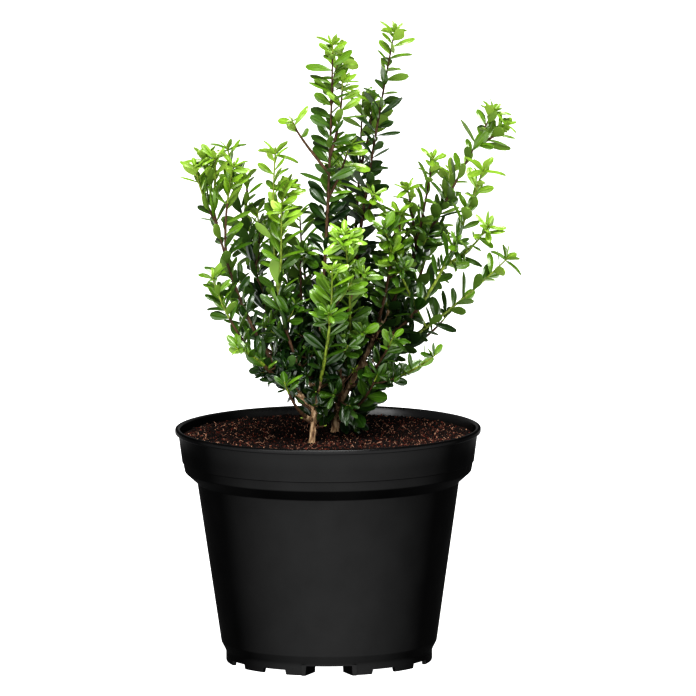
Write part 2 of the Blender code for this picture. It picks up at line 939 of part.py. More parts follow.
def twiglets(one, rule, land):
    """Short seeded side twigs of a leader, kept where the mass has room for them."""
    made = []
    curve = one["curve"]
    first, last = one["twig_start"], twig_end(curve)
    count = int(curve_length(curve, first, last) / TWIGLET_SPACING)
    turn = rule.uniform(0, math.tau)
    for i in range(count):
        share = (i + rule.uniform(0.2, 0.7)) / (count + 0.4)
        t = first + (last - first) * share
        root = curve_at(curve, t)
        axis = heading(curve, t)
        side = sideways(axis, turn)
        turn += GOLDEN_TURN
        reach = TWIGLET_LENGTH * (1 + rule.uniform(-TWIGLET_CHANGE, TWIGLET_CHANGE))
        direction = axis * math.cos(TWIGLET_SPREAD) + side * math.sin(TWIGLET_SPREAD)
        bow = (side - axis) * reach * TWIGLET_BOW
        twig = (root, root + direction * reach, bow)
        outside = curve_points(twig, 0.3, 1.0, SAMPLE_STEP)
        if allowed(outside, one["name"], land, clear=TWIG_RADIUS):
            made.append((twig, 0.0, 0.5, TWIGLET_RADIUS))
    return made


def mass_twigs(one, rule, land):
    """The leader, spurs and twiglets of a mass, as (curve, first, last, start radius)."""
    curve = one["curve"]
    twigs = [(curve, one["twig_start"], twig_end(curve), TWIG_RADIUS)]
    twigs += [(spur, 0.0, twig_end(spur), SPUR_RADIUS) for spur in one["spur_curves"]]
    return twigs + twiglets(one, rule, land)


def put_leaves(one, twigs, rule, land, workbench, leaf):
    """Leaves along all twigs of a mass, each in the first place that it may take."""
    blades = []
    for curve, first, last, _ in twigs:
        begin = first + FIRST_LEAF / curve_length(curve)
        for choices in leaf_places(curve, begin, last, rule):
            for matrix in choices:
                if crosses_limb(matrix, land):
                    continue
                if allowed(leaf_samples(matrix, leaf), one["name"], land):
                    blade = bpy.data.objects.new("blade", leaf)
                    workbench.objects.link(blade)
                    blade.matrix_world = matrix
                    blades.append(blade)
                    break
    return blades


def keep_outer_shell(mesh):
    """Drop loose scraps and sealed hollows, so that one closed body is left."""
    shape = bmesh.new()
    shape.from_mesh(mesh)
    left = set(shape.faces)
    shells = []
    while left:
        todo = [left.pop()]
        shell = []
        while todo:
            face = todo.pop()
            shell.append(face)
            for edge in face.edges:
                for other in edge.link_faces:
                    if other in left:
                        left.discard(other)
                        todo.append(other)
        shells.append(shell)
    shells.sort(key=len)
    for shell in shells[:-1]:
        bmesh.ops.delete(shape, geom=shell, context="FACES")
    shape.to_mesh(mesh)
    shape.free()


def fuse(stem, workbench):
    """Join all that lies on the workbench to the stem of a mass, by one union."""
    union = stem.modifiers.new("fuse", "BOOLEAN")
    union.operation = "UNION"
    union.operand_type = "COLLECTION"
    union.collection = workbench
    bpy.context.view_layer.update()
    fused = evaluated_mesh(stem)
    stem.modifiers.remove(union)
    plain = stem.data
    stem.data = fused
    bpy.data.meshes.remove(plain)
    keep_outer_shell(fused)


def grow_mass(one, land, parts, workbench, leaf, green):
    """One mass: its leader, spurs and twiglets, with leaves along all of them, fused."""
    rule = random.Random(f"{SEED} {one['name']}")
    name = f"foliage_{one['name'].replace('_stem', '_top')}"
    twigs = mass_twigs(one, rule, land)
    stem = twig_tube(name, *twigs[0], parts)
    side_twigs = [twig_tube("twig", *twig, workbench) for twig in twigs[1:]]
    blades = put_leaves(one, twigs, rule, land, workbench, leaf)
    fuse(stem, workbench)
    stem.data.name = name
    stem.data.materials.clear()
    stem.data.materials.append(green)
    for blade in blades:
        bpy.data.objects.remove(blade, do_unlink=True)
    for twig in side_twigs:
        discard(twig)


def remove_everything():
    for thing in list(bpy.data.objects):
        bpy.data.objects.remove(thing, do_unlink=True)


def main():
    remove_everything()
    parts = make_collection("potted_japanese_holly")
    channels = make_collection("pot_channels", hidden=True)
    pot_cutters = make_collection("pot_cutters", hidden=True)
    cutters = make_collection("cutters", hidden=True)
    workbench = make_collection("workbench", hidden=True)
    by_name = lay_out_shoots()
    bark = make_material("bark", BARK_COLOUR, 0.8)
    green = make_material("holly_green", LEAF_COLOUR, 0.4)
    leaf = unit_leaf()
    land = territories()
    for one in SHOOTS:
        grow_mass(one, land, parts, workbench, leaf, green)
    bpy.data.meshes.remove(leaf)
    bpy.data.collections.remove(workbench)
    for one in SHOOTS:
        if one["parent"]:
            build_bough(one, by_name[one["parent"]], parts, cutters, bark)
        else:
            build_stem(one, parts, bark)
    build_pot(parts, channels, pot_cutters)
    build_soil(parts, cutters)


if __name__ == "__main__":
    main()
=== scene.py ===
# %% [markdown]
# # A potted Japanese holly
#
# This lesson dresses a young evergreen shrub in a round black nursery pot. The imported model
# gives the frame: where the pot stands, where each stem and bough runs and how far each mass
# of foliage reaches. The looks are laid over it in metres, with +Z up: first the camera and
# the studio, then the pot, the soil, the bark, the twigs and at last the leaves.

# %% Load the frame
import math
import random

import bmesh
import bpy
from mathutils import Matrix, Quaternion, Vector, kdtree, noise
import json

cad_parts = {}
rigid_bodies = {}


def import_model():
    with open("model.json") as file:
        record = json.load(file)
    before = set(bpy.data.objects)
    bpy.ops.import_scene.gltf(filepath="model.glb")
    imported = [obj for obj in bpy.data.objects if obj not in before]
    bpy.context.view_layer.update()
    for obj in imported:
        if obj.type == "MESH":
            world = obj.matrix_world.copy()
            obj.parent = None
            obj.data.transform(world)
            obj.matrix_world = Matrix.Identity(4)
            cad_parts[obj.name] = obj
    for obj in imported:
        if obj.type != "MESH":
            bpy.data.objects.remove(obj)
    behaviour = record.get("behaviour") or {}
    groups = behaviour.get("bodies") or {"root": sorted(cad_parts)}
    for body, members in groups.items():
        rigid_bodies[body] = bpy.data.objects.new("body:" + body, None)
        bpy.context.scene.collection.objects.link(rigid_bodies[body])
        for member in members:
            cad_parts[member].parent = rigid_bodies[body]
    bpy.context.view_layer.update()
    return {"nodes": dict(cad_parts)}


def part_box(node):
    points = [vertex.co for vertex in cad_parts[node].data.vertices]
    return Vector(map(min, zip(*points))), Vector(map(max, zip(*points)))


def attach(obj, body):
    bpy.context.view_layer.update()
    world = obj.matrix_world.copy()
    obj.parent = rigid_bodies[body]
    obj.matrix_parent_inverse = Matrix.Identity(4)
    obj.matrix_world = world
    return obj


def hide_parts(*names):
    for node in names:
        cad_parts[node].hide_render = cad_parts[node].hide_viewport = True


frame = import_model()
MM = 0.001
POT_LOW, POT_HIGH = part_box("pot")
print("nodes in the frame:", len(frame["nodes"]))
print("pot", [round(1000 * (high - low)) for low, high in zip(POT_LOW, POT_HIGH)], "mm")

# %% [markdown]
# Every piece goes through the same few steps: its mesh gets its finish, it is put on the
# root body and, where it stands for solids, those solids are hidden. A plain mesh at the
# origin needs no placing. Shapes that only serve others lie on a hidden bench.

# %% Helpers for pieces
STAGE = bpy.context.scene.collection
BENCH = bpy.data.collections.new("bench")
STAGE.children.link(BENCH)
BENCH.hide_render = True


def link_piece(name, data, home=BENCH):
    thing = bpy.data.objects.new(name, data)
    home.objects.link(thing)
    return thing


def mesh_from(name, shape):
    """The plain mesh of a bmesh."""
    mesh = bpy.data.meshes.new(name)
    shape.to_mesh(mesh)
    shape.free()
    return mesh


def add_modifier(thing, kind, **fields):
    modifier = thing.modifiers.new(kind.lower(), kind)
    for field, value in fields.items():
        setattr(modifier, field, value)
    return modifier


def take_mesh(thing):
    """What an object looks like with its modifiers, as a plain mesh. The object goes."""
    bpy.context.view_layer.update()
    graph = bpy.context.evaluated_depsgraph_get()
    mesh = bpy.data.meshes.new_from_object(thing.evaluated_get(graph))
    blank = thing.data
    thing.modifiers.clear()
    bpy.data.objects.remove(thing, do_unlink=True)
    bpy.data.meshes.remove(blank)
    return mesh


def smooth(mesh, sharp):
    """Smooth shading, but for edges sharper than an angle in degrees."""
    mesh.shade_smooth()
    mesh.set_sharp_from_angle(angle=math.radians(sharp))


def finish_piece(name, mesh, nodes=(), sharp=None, finish=None):
    """A finished piece: a plain mesh at the origin that rides on the plant."""
    mesh.name = name
    if finish:
        mesh.materials.clear()
        mesh.materials.append(finish)
    if sharp is not None:
        smooth(mesh, sharp)
    piece = link_piece(name, mesh, STAGE)
    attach(piece, "root")
    if nodes:
        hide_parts(*nodes)
    mesh.calc_loop_triangles()
    print(f"{name}: {len(mesh.loop_triangles)} triangles")
    return piece


# %% [markdown]
# Node trees are built by a script here. One helper starts a Geometry Nodes tree with a
# geometry and named inputs. Another adds a node and returns the output that is wanted. A
# tree ends in Realize Instances and a Set Material for each finish, and then runs on a mesh.

# %% Helpers for node trees
def start_tree(name, **inputs):
    """A new tree with a geometry input and these named inputs, each given its kind."""
    tree = bpy.data.node_groups.new(name, "GeometryNodeTree")
    for label, kind in {"Geometry": "Geometry", **inputs}.items():
        tree.interface.new_socket(label, in_out="INPUT", socket_type="NodeSocket" + kind)
    tree.interface.new_socket("Geometry", in_out="OUTPUT", socket_type="NodeSocketGeometry")
    return tree, tree.nodes.new("NodeGroupInput").outputs


def give(tree, socket, value):
    """Gives a socket a value, or another socket to read."""
    if isinstance(value, bpy.types.NodeSocket):
        tree.links.new(value, socket)
    else:
        socket.default_value = value


def add_node(tree, kind, links=None, out=0, **fields):
    """One output of a new node with these fields. links says what its sockets get."""
    node = tree.nodes.new(kind)
    for field, value in fields.items():
        setattr(node, field, value)
    for socket, value in (links or {}).items():
        give(tree, node.inputs[socket], value)
    return node.outputs[out]


def calculate(tree, operation, *values, kind="Math", out=0):
    """A Math or a VectorMath node on these values."""
    links = dict(enumerate(values))
    return add_node(tree, "ShaderNode" + kind, links, out, operation=operation)


def named(tree, name, kind):
    """What the points of a mesh remember under a name."""
    return add_node(tree, "GeometryNodeInputNamedAttribute", {"Name": name}, data_type=kind)


def end_tree(tree, geometry, *finishes):
    """Ends a tree in Realize Instances and one Set Material for each finish."""
    last = add_node(tree, "GeometryNodeRealizeInstances", {"Geometry": geometry})
    for links in finishes:
        last = add_node(tree, "GeometryNodeSetMaterial", {"Geometry": last, **links})
    give(tree, tree.nodes.new("NodeGroupOutput").inputs["Geometry"], last)


def grow(mesh, tree, **values):
    """Runs a tree on a mesh with these inputs and returns the plain mesh that it makes."""
    seed = link_piece("seed_of_" + tree.name, mesh)
    modifier = add_modifier(seed, "NODES", node_group=tree)
    for item in tree.interface.items_tree:
        if item.in_out == "INPUT" and item.name in values:
            modifier[item.identifier] = values[item.name]
    return take_mesh(seed)


# %% [markdown]
# Finishes come next. A helper starts a Principled material with values that are the same all
# over. Where a surface has a pattern, its nodes are added on top and read object coordinates,
# because every piece sits at the origin.

# %% Helpers for materials
def from_screen(red, green, blue):
    """A colour as seen on a screen, from 0 to 255, as the light values that a shader takes."""
    return tuple((value / 255 / 12.92) if value < 11 else ((value / 255 + 0.055) / 1.055) ** 2.4
                 for value in (red, green, blue))


def feed(tree, **sockets):
    """Gives a material's sockets a value or an output to read, with _ for each space."""
    shader = tree.nodes["Principled BSDF"]
    for name, value in sockets.items():
        give(tree, shader.inputs[name.replace("_", " ")], value)


def new_finish(name, colour, roughness, **values):
    """A Principled material. values are other sockets."""
    material = bpy.data.materials.new(name)
    material.use_nodes = True
    material.diffuse_color = (*colour, 1.0)
    feed(material.node_tree, Base_Color=(*colour, 1.0), Roughness=roughness, **values)
    return material


def own_place(tree):
    """Where each point lies on its object."""
    return add_node(tree, "ShaderNodeTexCoord", out="Object")


def add_noise(tree, scale, detail, stretch=(1, 1, 1)):
    """A noise on object coordinates, stretched along an axis by a small scale there."""
    spot = add_node(tree, "ShaderNodeMapping", {"Vector": own_place(tree), "Scale": stretch})
    return add_node(tree, "ShaderNodeTexNoise", {"Vector": spot, "Scale": scale, "Detail": detail})


def colour_by(tree, factor, *stops):
    """Colours a material by a factor, through a ramp of (place, colour) stops."""
    ramp = add_node(tree, "ShaderNodeValToRGB", {"Fac": factor})
    points = ramp.node.color_ramp.elements
    while len(points) < len(stops):
        points.new(0.5)
    for point, (place, colour) in zip(points, stops):
        point.position = place
        point.color = (*colour, 1.0)
    feed(tree, Base_Color=ramp)


def add_range(tree, value, span, made=(0.0, 1.0), **fields):
    """A number that runs through made as the value runs through a span."""
    (low, high), (first, last) = span, made
    return add_node(tree, "ShaderNodeMapRange", {
        "Value": value, "From Min": low, "From Max": high, "To Min": first, "To Max": last},
        **fields)


def add_bump(tree, height, distance, strength=1.0):
    links = {"Height": height, "Distance": distance, "Strength": strength}
    feed(tree, Normal=add_node(tree, "ShaderNodeBump", links))


# %% [markdown]
# ## Camera and studio
#
# The picture was taken from far off with a long lens, a little above the rim, and a camera
# nine metres away with a 750 mm lens gives that. The floor is paper lit from below, as on a
# light table, so it stays white right up to the pot and the notches in the pot's foot stand
# out. A sun lamp with a wide disc gives the leaves crisp glints, a weak sky keeps the inside
# of the crown deep, and a low soft box in front puts the broad sheen on the pot.

# %% Camera
VIEW_TARGET = Vector((0.0127, 0, 0.1957))
VIEW_DISTANCE = 9.0
VIEW_ELEVATION = math.radians(8.25)
VIEW_ROLL = math.radians(-0.3)
VIEW_LENS = 750
VIEW_SENSOR = 36


def aim(name, data, place, way, roll=0):
    """Puts a camera or a lamp at a place and turns it to look a way."""
    thing = link_piece(name, data, STAGE)
    thing.location = place
    thing.rotation_mode = "QUATERNION"
    thing.rotation_quaternion = way.to_track_quat("-Z", "Y") @ Quaternion((0, 0, 1), roll)
    return thing


lens = bpy.data.cameras.new("camera")
lens.lens = VIEW_LENS
lens.sensor_width = VIEW_SENSOR
lens.clip_end = 100
away = Vector((0, -math.cos(VIEW_ELEVATION), math.sin(VIEW_ELEVATION)))
camera = aim("camera", lens, VIEW_TARGET + away * VIEW_DISTANCE, -away, VIEW_ROLL)
bpy.context.scene.camera = camera
print("camera at", [round(value, 2) for value in camera.location])

# %% Floor and light
FLOOR_HALF = 14.0
FLOOR_COLOUR = (0.25, 0.25, 0.25)
FLOOR_ROUGHNESS = 0.9
FLOOR_GLOW = 0.95
SKY_STRENGTH = 0.16
KEY_STRENGTH = 4.3
KEY_DISC = math.radians(42)
KEY_ELEVATION = math.radians(64)
KEY_BEARING = math.radians(5)
BOX_PLACE = Vector((-0.6, -2.2, 0.6))
BOX_TARGET = Vector((0, 0, 0.15))
BOX_SIZES = (3.6, 0.9)
BOX_STRENGTH = 34

bpy.context.scene.view_settings.view_transform = "Standard"
bpy.context.scene.view_settings.look = "High Contrast"
sheet = bmesh.new()
bmesh.ops.create_grid(sheet, x_segments=1, y_segments=1, size=FLOOR_HALF)
floor = link_piece("floor", mesh_from("floor", sheet), STAGE)
floor.data.materials.append(new_finish(
    "floor_paper", FLOOR_COLOUR, FLOOR_ROUGHNESS, Emission_Color=(1, 1, 1, 1),
    Emission_Strength=FLOOR_GLOW))

sky = bpy.data.worlds.new("studio")
sky.use_nodes = True
sky.node_tree.nodes["Background"].inputs["Color"].default_value = (1, 1, 1, 1)
sky.node_tree.nodes["Background"].inputs["Strength"].default_value = SKY_STRENGTH
bpy.context.scene.world = sky

key = bpy.data.lights.new("key_light", "SUN")
key.energy = KEY_STRENGTH
key.angle = KEY_DISC
level = math.cos(KEY_ELEVATION)
key_place = Vector((math.sin(KEY_BEARING) * level, -math.cos(KEY_BEARING) * level,
                    math.sin(KEY_ELEVATION))) * 3
aim("key_light", key, key_place, -key_place)

soft_box = bpy.data.lights.new("soft_box", "AREA")
soft_box.shape = "RECTANGLE"
soft_box.size, soft_box.size_y = BOX_SIZES
soft_box.energy = BOX_STRENGTH
aim("soft_box", soft_box, BOX_PLACE, BOX_TARGET - BOX_PLACE)

# %% [markdown]
# ## The pot
#
# The pot is moulded from thin black plastic: a tapering body, a step out to a tall collar, a
# small bead round the lip, and a foot skirt cut by drain notches. Its profile is drawn in
# radius and height, a Screw modifier turns it, and Booleans cut the notches and the drain
# holes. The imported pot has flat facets, so this finer one stands for it.

# %% The pot's sizes
POT_HEIGHT = POT_HIGH.z
RIM_RADIUS = POT_HIGH.x
RIM_DEPTH = 3.2 * MM
RIM_OVERHANG = 2.0 * MM
RIM_ROUND = 0.7 * MM
WALL = 1.7 * MM
COLLAR_FOOT = (90.7 * MM, 125.3 * MM)
BAND_STEP = 0.6 * MM
BAND_FOOT = (89.1 * MM, 119.3 * MM)
SHOULDER = (81.4 * MM, 112.4 * MM)
BODY_FOOT = (67.0 * MM, 12.5 * MM)
FOOT_RADIUS = 64.1 * MM
FOOT_TOP_Z = 6.8 * MM
FOOT_ROUND = 1.0 * MM
SKIRT = 2.6 * MM
BASE_Z = 6.4 * MM
FLOOR_Z = 9.2 * MM
FLOOR_ROUND = 2 * MM
PAD_RADIUS = 12 * MM
POT_STEPS = 224
CLEARANCE = 0.3 * MM

# A notch is its inner and outer radius, its half width at both, its height and its narrowing.
DEEP_NOTCH = ((46 * MM, 8.2 * MM), (70 * MM, 18.2 * MM), 6.1 * MM, 0.93)
SMALL_NOTCH = ((56 * MM, 8.4 * MM), (70 * MM, 10.2 * MM), 3.1 * MM, 0.84)
CHANNEL = ((48 * MM, 10.8 * MM), (62.8 * MM, 17.0 * MM), 6.8 * MM, 1.0)
DEEP_BEARINGS = (0, 180)
SMALL_BEARINGS = (32.2, 62.1)
DRAINS = 6
DRAIN_RADIUS = 4.5 * MM
DRAIN_CIRCLE = 33 * MM


def rounded_profile(corners, parts=4):
    """The (radius, height) points of a profile whose corners also give their rounding."""
    spots = [Vector(corner[:2]) for corner in corners]
    points = []
    for i, (radius, height, rounding) in enumerate(corners):
        if not rounding:
            points.append((radius, height))
            continue
        corner = spots[i]
        start = corner + (spots[i - 1] - corner).normalized() * rounding
        end = corner + (spots[i + 1] - corner).normalized() * rounding
        for part in range(parts + 1):
            t = part / parts
            points.append(tuple(start * (1 - t) ** 2 + corner * 2 * t * (1 - t) + end * t**2))
    return points


def turned(name, profile, steps):
    """A solid turned about Z from (radius, height) pairs that run down its outer side."""
    mesh = bpy.data.meshes.new(name)
    edges = [(i, i + 1) for i in range(len(profile) - 1)]
    mesh.from_pydata([(radius, 0, height) for radius, height in profile], edges, [])
    thing = link_piece(name, mesh)
    add_modifier(thing, "SCREW", steps=steps, render_steps=steps, use_merge_vertices=True,
                 merge_threshold=0.00001, use_smooth_shade=True)
    return thing


# %% Draw the pot's profile
LIP_FOOT_Z = POT_HEIGHT - RIM_DEPTH
COLLAR_TOP = RIM_RADIUS - RIM_OVERHANG
SOFT = 0.5 * MM

pot_profile = rounded_profile([
    (0, FLOOR_Z, 0),
    (BODY_FOOT[0] - WALL - FLOOR_ROUND, FLOOR_Z, SOFT),
    (BODY_FOOT[0] - WALL, BODY_FOOT[1], SOFT),
    (SHOULDER[0] - WALL, SHOULDER[1] + WALL / 2, SOFT),
    (BAND_FOOT[0] - WALL, BAND_FOOT[1] + WALL / 2, SOFT),
    (COLLAR_TOP - WALL, LIP_FOOT_Z, SOFT),
    (COLLAR_TOP - WALL + RIM_ROUND, POT_HEIGHT, 2 * SOFT),
    (RIM_RADIUS, POT_HEIGHT, 2 * SOFT),
    (RIM_RADIUS, LIP_FOOT_Z, 2 * SOFT),
    (COLLAR_TOP, LIP_FOOT_Z, SOFT / 2),
    (*COLLAR_FOOT, SOFT / 4),
    (COLLAR_FOOT[0] - BAND_STEP, COLLAR_FOOT[1] - BAND_STEP / 2, SOFT / 4),
    (*BAND_FOOT, 1.6 * SOFT),
    (*SHOULDER, SOFT),
    (*BODY_FOOT, SOFT),
    (FOOT_RADIUS, FOOT_TOP_Z, 3 * SOFT),
    (FOOT_RADIUS, 0, FOOT_ROUND),
    (FOOT_RADIUS - SKIRT, 0, SOFT),
    (FOOT_RADIUS - SKIRT, BASE_Z, SOFT),
    (PAD_RADIUS, BASE_Z, SOFT),
    (PAD_RADIUS, 0, SOFT),
    (0, 0, 0),
])
print("points in the pot's profile:", len(pot_profile))


# %% Cut the notches and the drain holes
channels = bpy.data.collections.new("pot_channels")
cutters = bpy.data.collections.new("pot_cutters")
BENCH.children.link(channels)
BENCH.children.link(cutters)


def add_block(sizes, bearing, home, lowest=None):
    """A wedge across the foot skirt, at a bearing from the front."""
    (inner_radius, inner_half), (outer_radius, outer_half), height, narrowing = sizes
    shape = bmesh.new()
    bmesh.ops.create_cube(shape, size=2)
    for vert in shape.verts:
        outside, above = vert.co.y < 0, vert.co.z > 0
        half = outer_half if outside else inner_half
        vert.co.x = math.copysign(half * (narrowing if above else 1), vert.co.x)
        vert.co.y = -outer_radius if outside else -inner_radius
        vert.co.z = height if above else (-height if lowest is None else lowest)
    turn = Matrix.Rotation(math.radians(bearing), 4, "Z")
    bmesh.ops.transform(shape, matrix=turn, verts=shape.verts)
    link_piece("block", mesh_from("block", shape), home)


for bearing in DEEP_BEARINGS:
    add_block(CHANNEL, bearing, channels, lowest=0)
    add_block(DEEP_NOTCH, bearing, cutters)
for side in SMALL_BEARINGS:
    for bearing in (side, 180 - side, 180 + side, 360 - side):
        add_block(SMALL_NOTCH, bearing, cutters)
for index in range(DRAINS):
    bearing = math.tau * (index + 0.5) / DRAINS
    drain = bmesh.new()
    bmesh.ops.create_cone(drain, cap_ends=True, segments=32, radius1=DRAIN_RADIUS,
                          radius2=DRAIN_RADIUS, depth=2 * FLOOR_Z)
    middle = Vector((math.sin(bearing), -math.cos(bearing), 0)) * DRAIN_CIRCLE
    bmesh.ops.translate(drain, verts=drain.verts, vec=middle + Vector((0, 0, FLOOR_Z)))
    link_piece("drain", mesh_from("drain", drain), cutters)

pot_blank = turned("pot_blank", pot_profile, POT_STEPS)
for operation, tools in (("UNION", channels), ("DIFFERENCE", cutters)):
    add_modifier(pot_blank, "BOOLEAN", operation=operation, operand_type="COLLECTION",
                 collection=tools)
pot_mesh = take_mesh(pot_blank)

# %% [markdown]
# Moulded plastic is never one flat black. A fine grain breaks the gloss, the polish comes and
# goes in faint clouds, and a little pale dust lies on it: three noises at their own scales.
# The sheen fades where the wall turns away. The inner edge of the lip, rubbed smooth, keeps a
# thin bright line, and the back of the wall over the soil a grey shine.

# %% Black plastic
BLACK = (0.0028, 0.0029, 0.003)
DUSTED = (0.0044, 0.0044, 0.0045)
CLOUD_STRETCH = (1, 1, 0.45)
MATT = (0.6, 0.7)
POLISH = 0.4
POLISHED_FROM = (132 * MM, 145 * MM)
SHEEN = 0.34
SIDE_SHEEN = 0.004
SHEEN_FADES = (0.0, 0.5)
LIP_SHINE = 0.5
LIP_FROM = (145.0 * MM, 145.7 * MM)
LIP_INNER = (92.7 * MM, 93.5 * MM)
WALL_SHINE = 1.0
WALL_FROM = (139.2 * MM, 140.4 * MM)
WALL_INNER = (91.9 * MM, 92.3 * MM)
WALL_BACK = (45 * MM, 66 * MM)
BACK_WAY = (0.35, 1, 0)
CLOUD_SCALE, MATT_SCALE, GRAIN_SCALE = 28, 60, 1500
GRAIN_DEPTH = 0.00004

black = new_finish("black_plastic", BLACK, MATT[1])
tree = black.node_tree
spot = own_place(tree)
height = add_node(tree, "ShaderNodeSeparateXYZ", {"Vector": spot}, "Z")
flat = calculate(tree, "MULTIPLY", spot, (1, 1, 0), kind="VectorMath")
radius = calculate(tree, "LENGTH", flat, kind="VectorMath", out="Value")
backward = calculate(tree, "DOT_PRODUCT", spot, BACK_WAY, kind="VectorMath", out="Value")
side_on = add_node(tree, "ShaderNodeLayerWeight", {"Blend": 0.5}, "Facing")

colour_by(tree, add_noise(tree, CLOUD_SCALE, 4, CLOUD_STRETCH), (0.35, BLACK), (0.7, DUSTED))
matt = add_range(tree, add_noise(tree, MATT_SCALE, 5), (0.3, 0.7), MATT)
polish = add_range(tree, height, POLISHED_FROM, (0.0, POLISH))
sheen = add_range(tree, side_on, SHEEN_FADES, (SHEEN, SIDE_SHEEN),
                  interpolation_type="SMOOTHSTEP")
on_top = add_range(tree, height, LIP_FROM)
inside = add_range(tree, radius, LIP_INNER, (LIP_SHINE, 0.0))
shine = calculate(tree, "MULTIPLY_ADD", on_top, inside, sheen)
over_soil = add_range(tree, height, WALL_FROM, (0.0, WALL_SHINE))
at_back = add_range(tree, backward, WALL_BACK)
inner_wall = add_range(tree, radius, WALL_INNER, (at_back, 0.0))
shine = calculate(tree, "MULTIPLY_ADD", over_soil, inner_wall, shine)
feed(tree, Roughness=calculate(tree, "SUBTRACT", matt, polish), Specular_IOR_Level=shine)
add_bump(tree, add_noise(tree, GRAIN_SCALE, 2), GRAIN_DEPTH, 0.5)
finish_piece("pot_body", pot_mesh, ["pot"], 32, black)

# %% [markdown]
# ## The potting soil
#
# Potting mix is peat and fine bark: a low mound of dark crumbs with red-brown flakes, pale
# specks and a few fibres. One noisy surface alone looks like cloth, so a closed mound fills
# the pot, and a Geometry Nodes tree scatters the loose bits over its top.

# %% The mound
SOIL_TOP_Z = 141.9 * MM
SOIL_DROP = 1.5 * MM
SOIL_STEPS = 144
SOIL_RINGS = 46
SOIL_GAP = 0.36 * MM
SOIL_ROUGHNESS = 1.1 * MM
SOIL_LUMPS = 260
TOP_MARGIN = 0.5 * MM
TOP_DEPTH = 2 * MM


def ground_height(x, y):
    """Height of the soil at a place on its mound."""
    return SOIL_TOP_Z - SOIL_DROP * (x * x + y * y) / RIM_RADIUS**2


edge_share = (ground_height(COLLAR_TOP, 0) - BAND_FOOT[1]) / (LIP_FOOT_Z - BAND_FOOT[1])
inner_band = BAND_FOOT[0] - WALL
SOIL_EDGE = inner_band + (COLLAR_TOP - WALL - inner_band) * edge_share - SOIL_GAP
rings = [SOIL_EDGE * ring / SOIL_RINGS for ring in range(SOIL_RINGS + 1)]
soil_profile = [(radius, ground_height(radius, 0)) for radius in rings] + [
    (inner_band - SOIL_GAP, BAND_FOOT[1] + WALL / 2),
    (SHOULDER[0] - WALL - SOIL_GAP, SHOULDER[1] + WALL / 2),
    (BODY_FOOT[0] - WALL - SOIL_GAP, BODY_FOOT[1]),
    (BODY_FOOT[0] - WALL - FLOOR_ROUND - SOIL_GAP, FLOOR_Z + CLEARANCE),
    (0, FLOOR_Z + CLEARANCE),
]
soil_mesh = take_mesh(turned("soil_blank", soil_profile, SOIL_STEPS))


def is_top(place):
    """True on the soil's open face, a little inside the pot's wall."""
    beyond = math.hypot(place.x, place.y) > SOIL_EDGE - TOP_MARGIN
    return not beyond and place.z > ground_height(place.x, place.y) - TOP_DEPTH


for vert in soil_mesh.vertices:
    if is_top(vert.co):
        lumps = noise.fractal(vert.co * SOIL_LUMPS, 0.9, 2.1, 3)
        vert.co.z += SOIL_ROUGHNESS * lumps

# %% Soil colours and the mound's finish
PEAT = from_screen(20, 10, 7)
LOAM = from_screen(62, 29, 19)
RED_BARK = from_screen(104, 48, 33)
PALE_CHIP = from_screen(214, 170, 138)
GREY_CHIP = from_screen(160, 124, 104)
PEAT_PATCHES, PEAT_GRAIN = 240, 900
PEAT_RELIEF = 0.0006

peat = new_finish("peat", PEAT, 0.95, Specular_IOR_Level=0.25)
tree = peat.node_tree
colour_by(tree, add_noise(tree, PEAT_PATCHES, 5), (0.42, PEAT), (0.6, LOAM))
add_bump(tree, add_noise(tree, PEAT_GRAIN, 4), PEAT_RELIEF)
soil = finish_piece("soil_mound", soil_mesh, ["potting_soil"], 180, peat)

# %% [markdown]
# The scattering tree drops points at random on the mound's open face and puts one small
# shape on each, with its own turn and size. The shapes are an uneven crumb, a thin flake of
# bark and a bent fibre. They have few faces, because there are thousands of them.

# %% A tree that scatters bits on the soil
scatter, given = start_tree("scatter_bits", Bit="Object", Density="Float", Seed="Int",
                            Smallest="Float", Largest="Float", Lean="Float", Finish="Material")
seed = given["Seed"]
spread = add_node(scatter, "GeometryNodeDistributePointsOnFaces", {
    "Mesh": given["Geometry"], "Density": given["Density"], "Seed": seed})
lean = add_node(scatter, "ShaderNodeCombineXYZ", {
    "X": given["Lean"], "Y": given["Lean"], "Z": math.pi})
against = calculate(scatter, "MULTIPLY", lean, (-1, -1, -1), kind="VectorMath")
turn = add_node(scatter, "FunctionNodeRandomValue", {
    "Min": against, "Max": lean, "Seed": seed}, data_type="FLOAT_VECTOR")
size = add_node(scatter, "FunctionNodeRandomValue", {
    2: given["Smallest"], 3: given["Largest"], "Seed": seed}, 1, data_type="FLOAT")
bit = add_node(scatter, "GeometryNodeObjectInfo", {"Object": given["Bit"]}, "Geometry")
bits = add_node(scatter, "GeometryNodeInstanceOnPoints", {
    "Points": spread, "Instance": bit, "Rotation": turn, "Scale": size})
end_tree(scatter, bits, {"Material": given["Finish"]})


# %% The bits
CRUMB_CHANGE = (0.6, 1.25)
FLAKE_TAPER = 1.2


def crumb_shape(seed):
    """An uneven lump about one unit across."""
    shape = bmesh.new()
    bmesh.ops.create_icosphere(shape, subdivisions=1, radius=0.5)
    rule = random.Random(seed)
    for vert in shape.verts:
        vert.co *= rule.uniform(*CRUMB_CHANGE)
    return shape


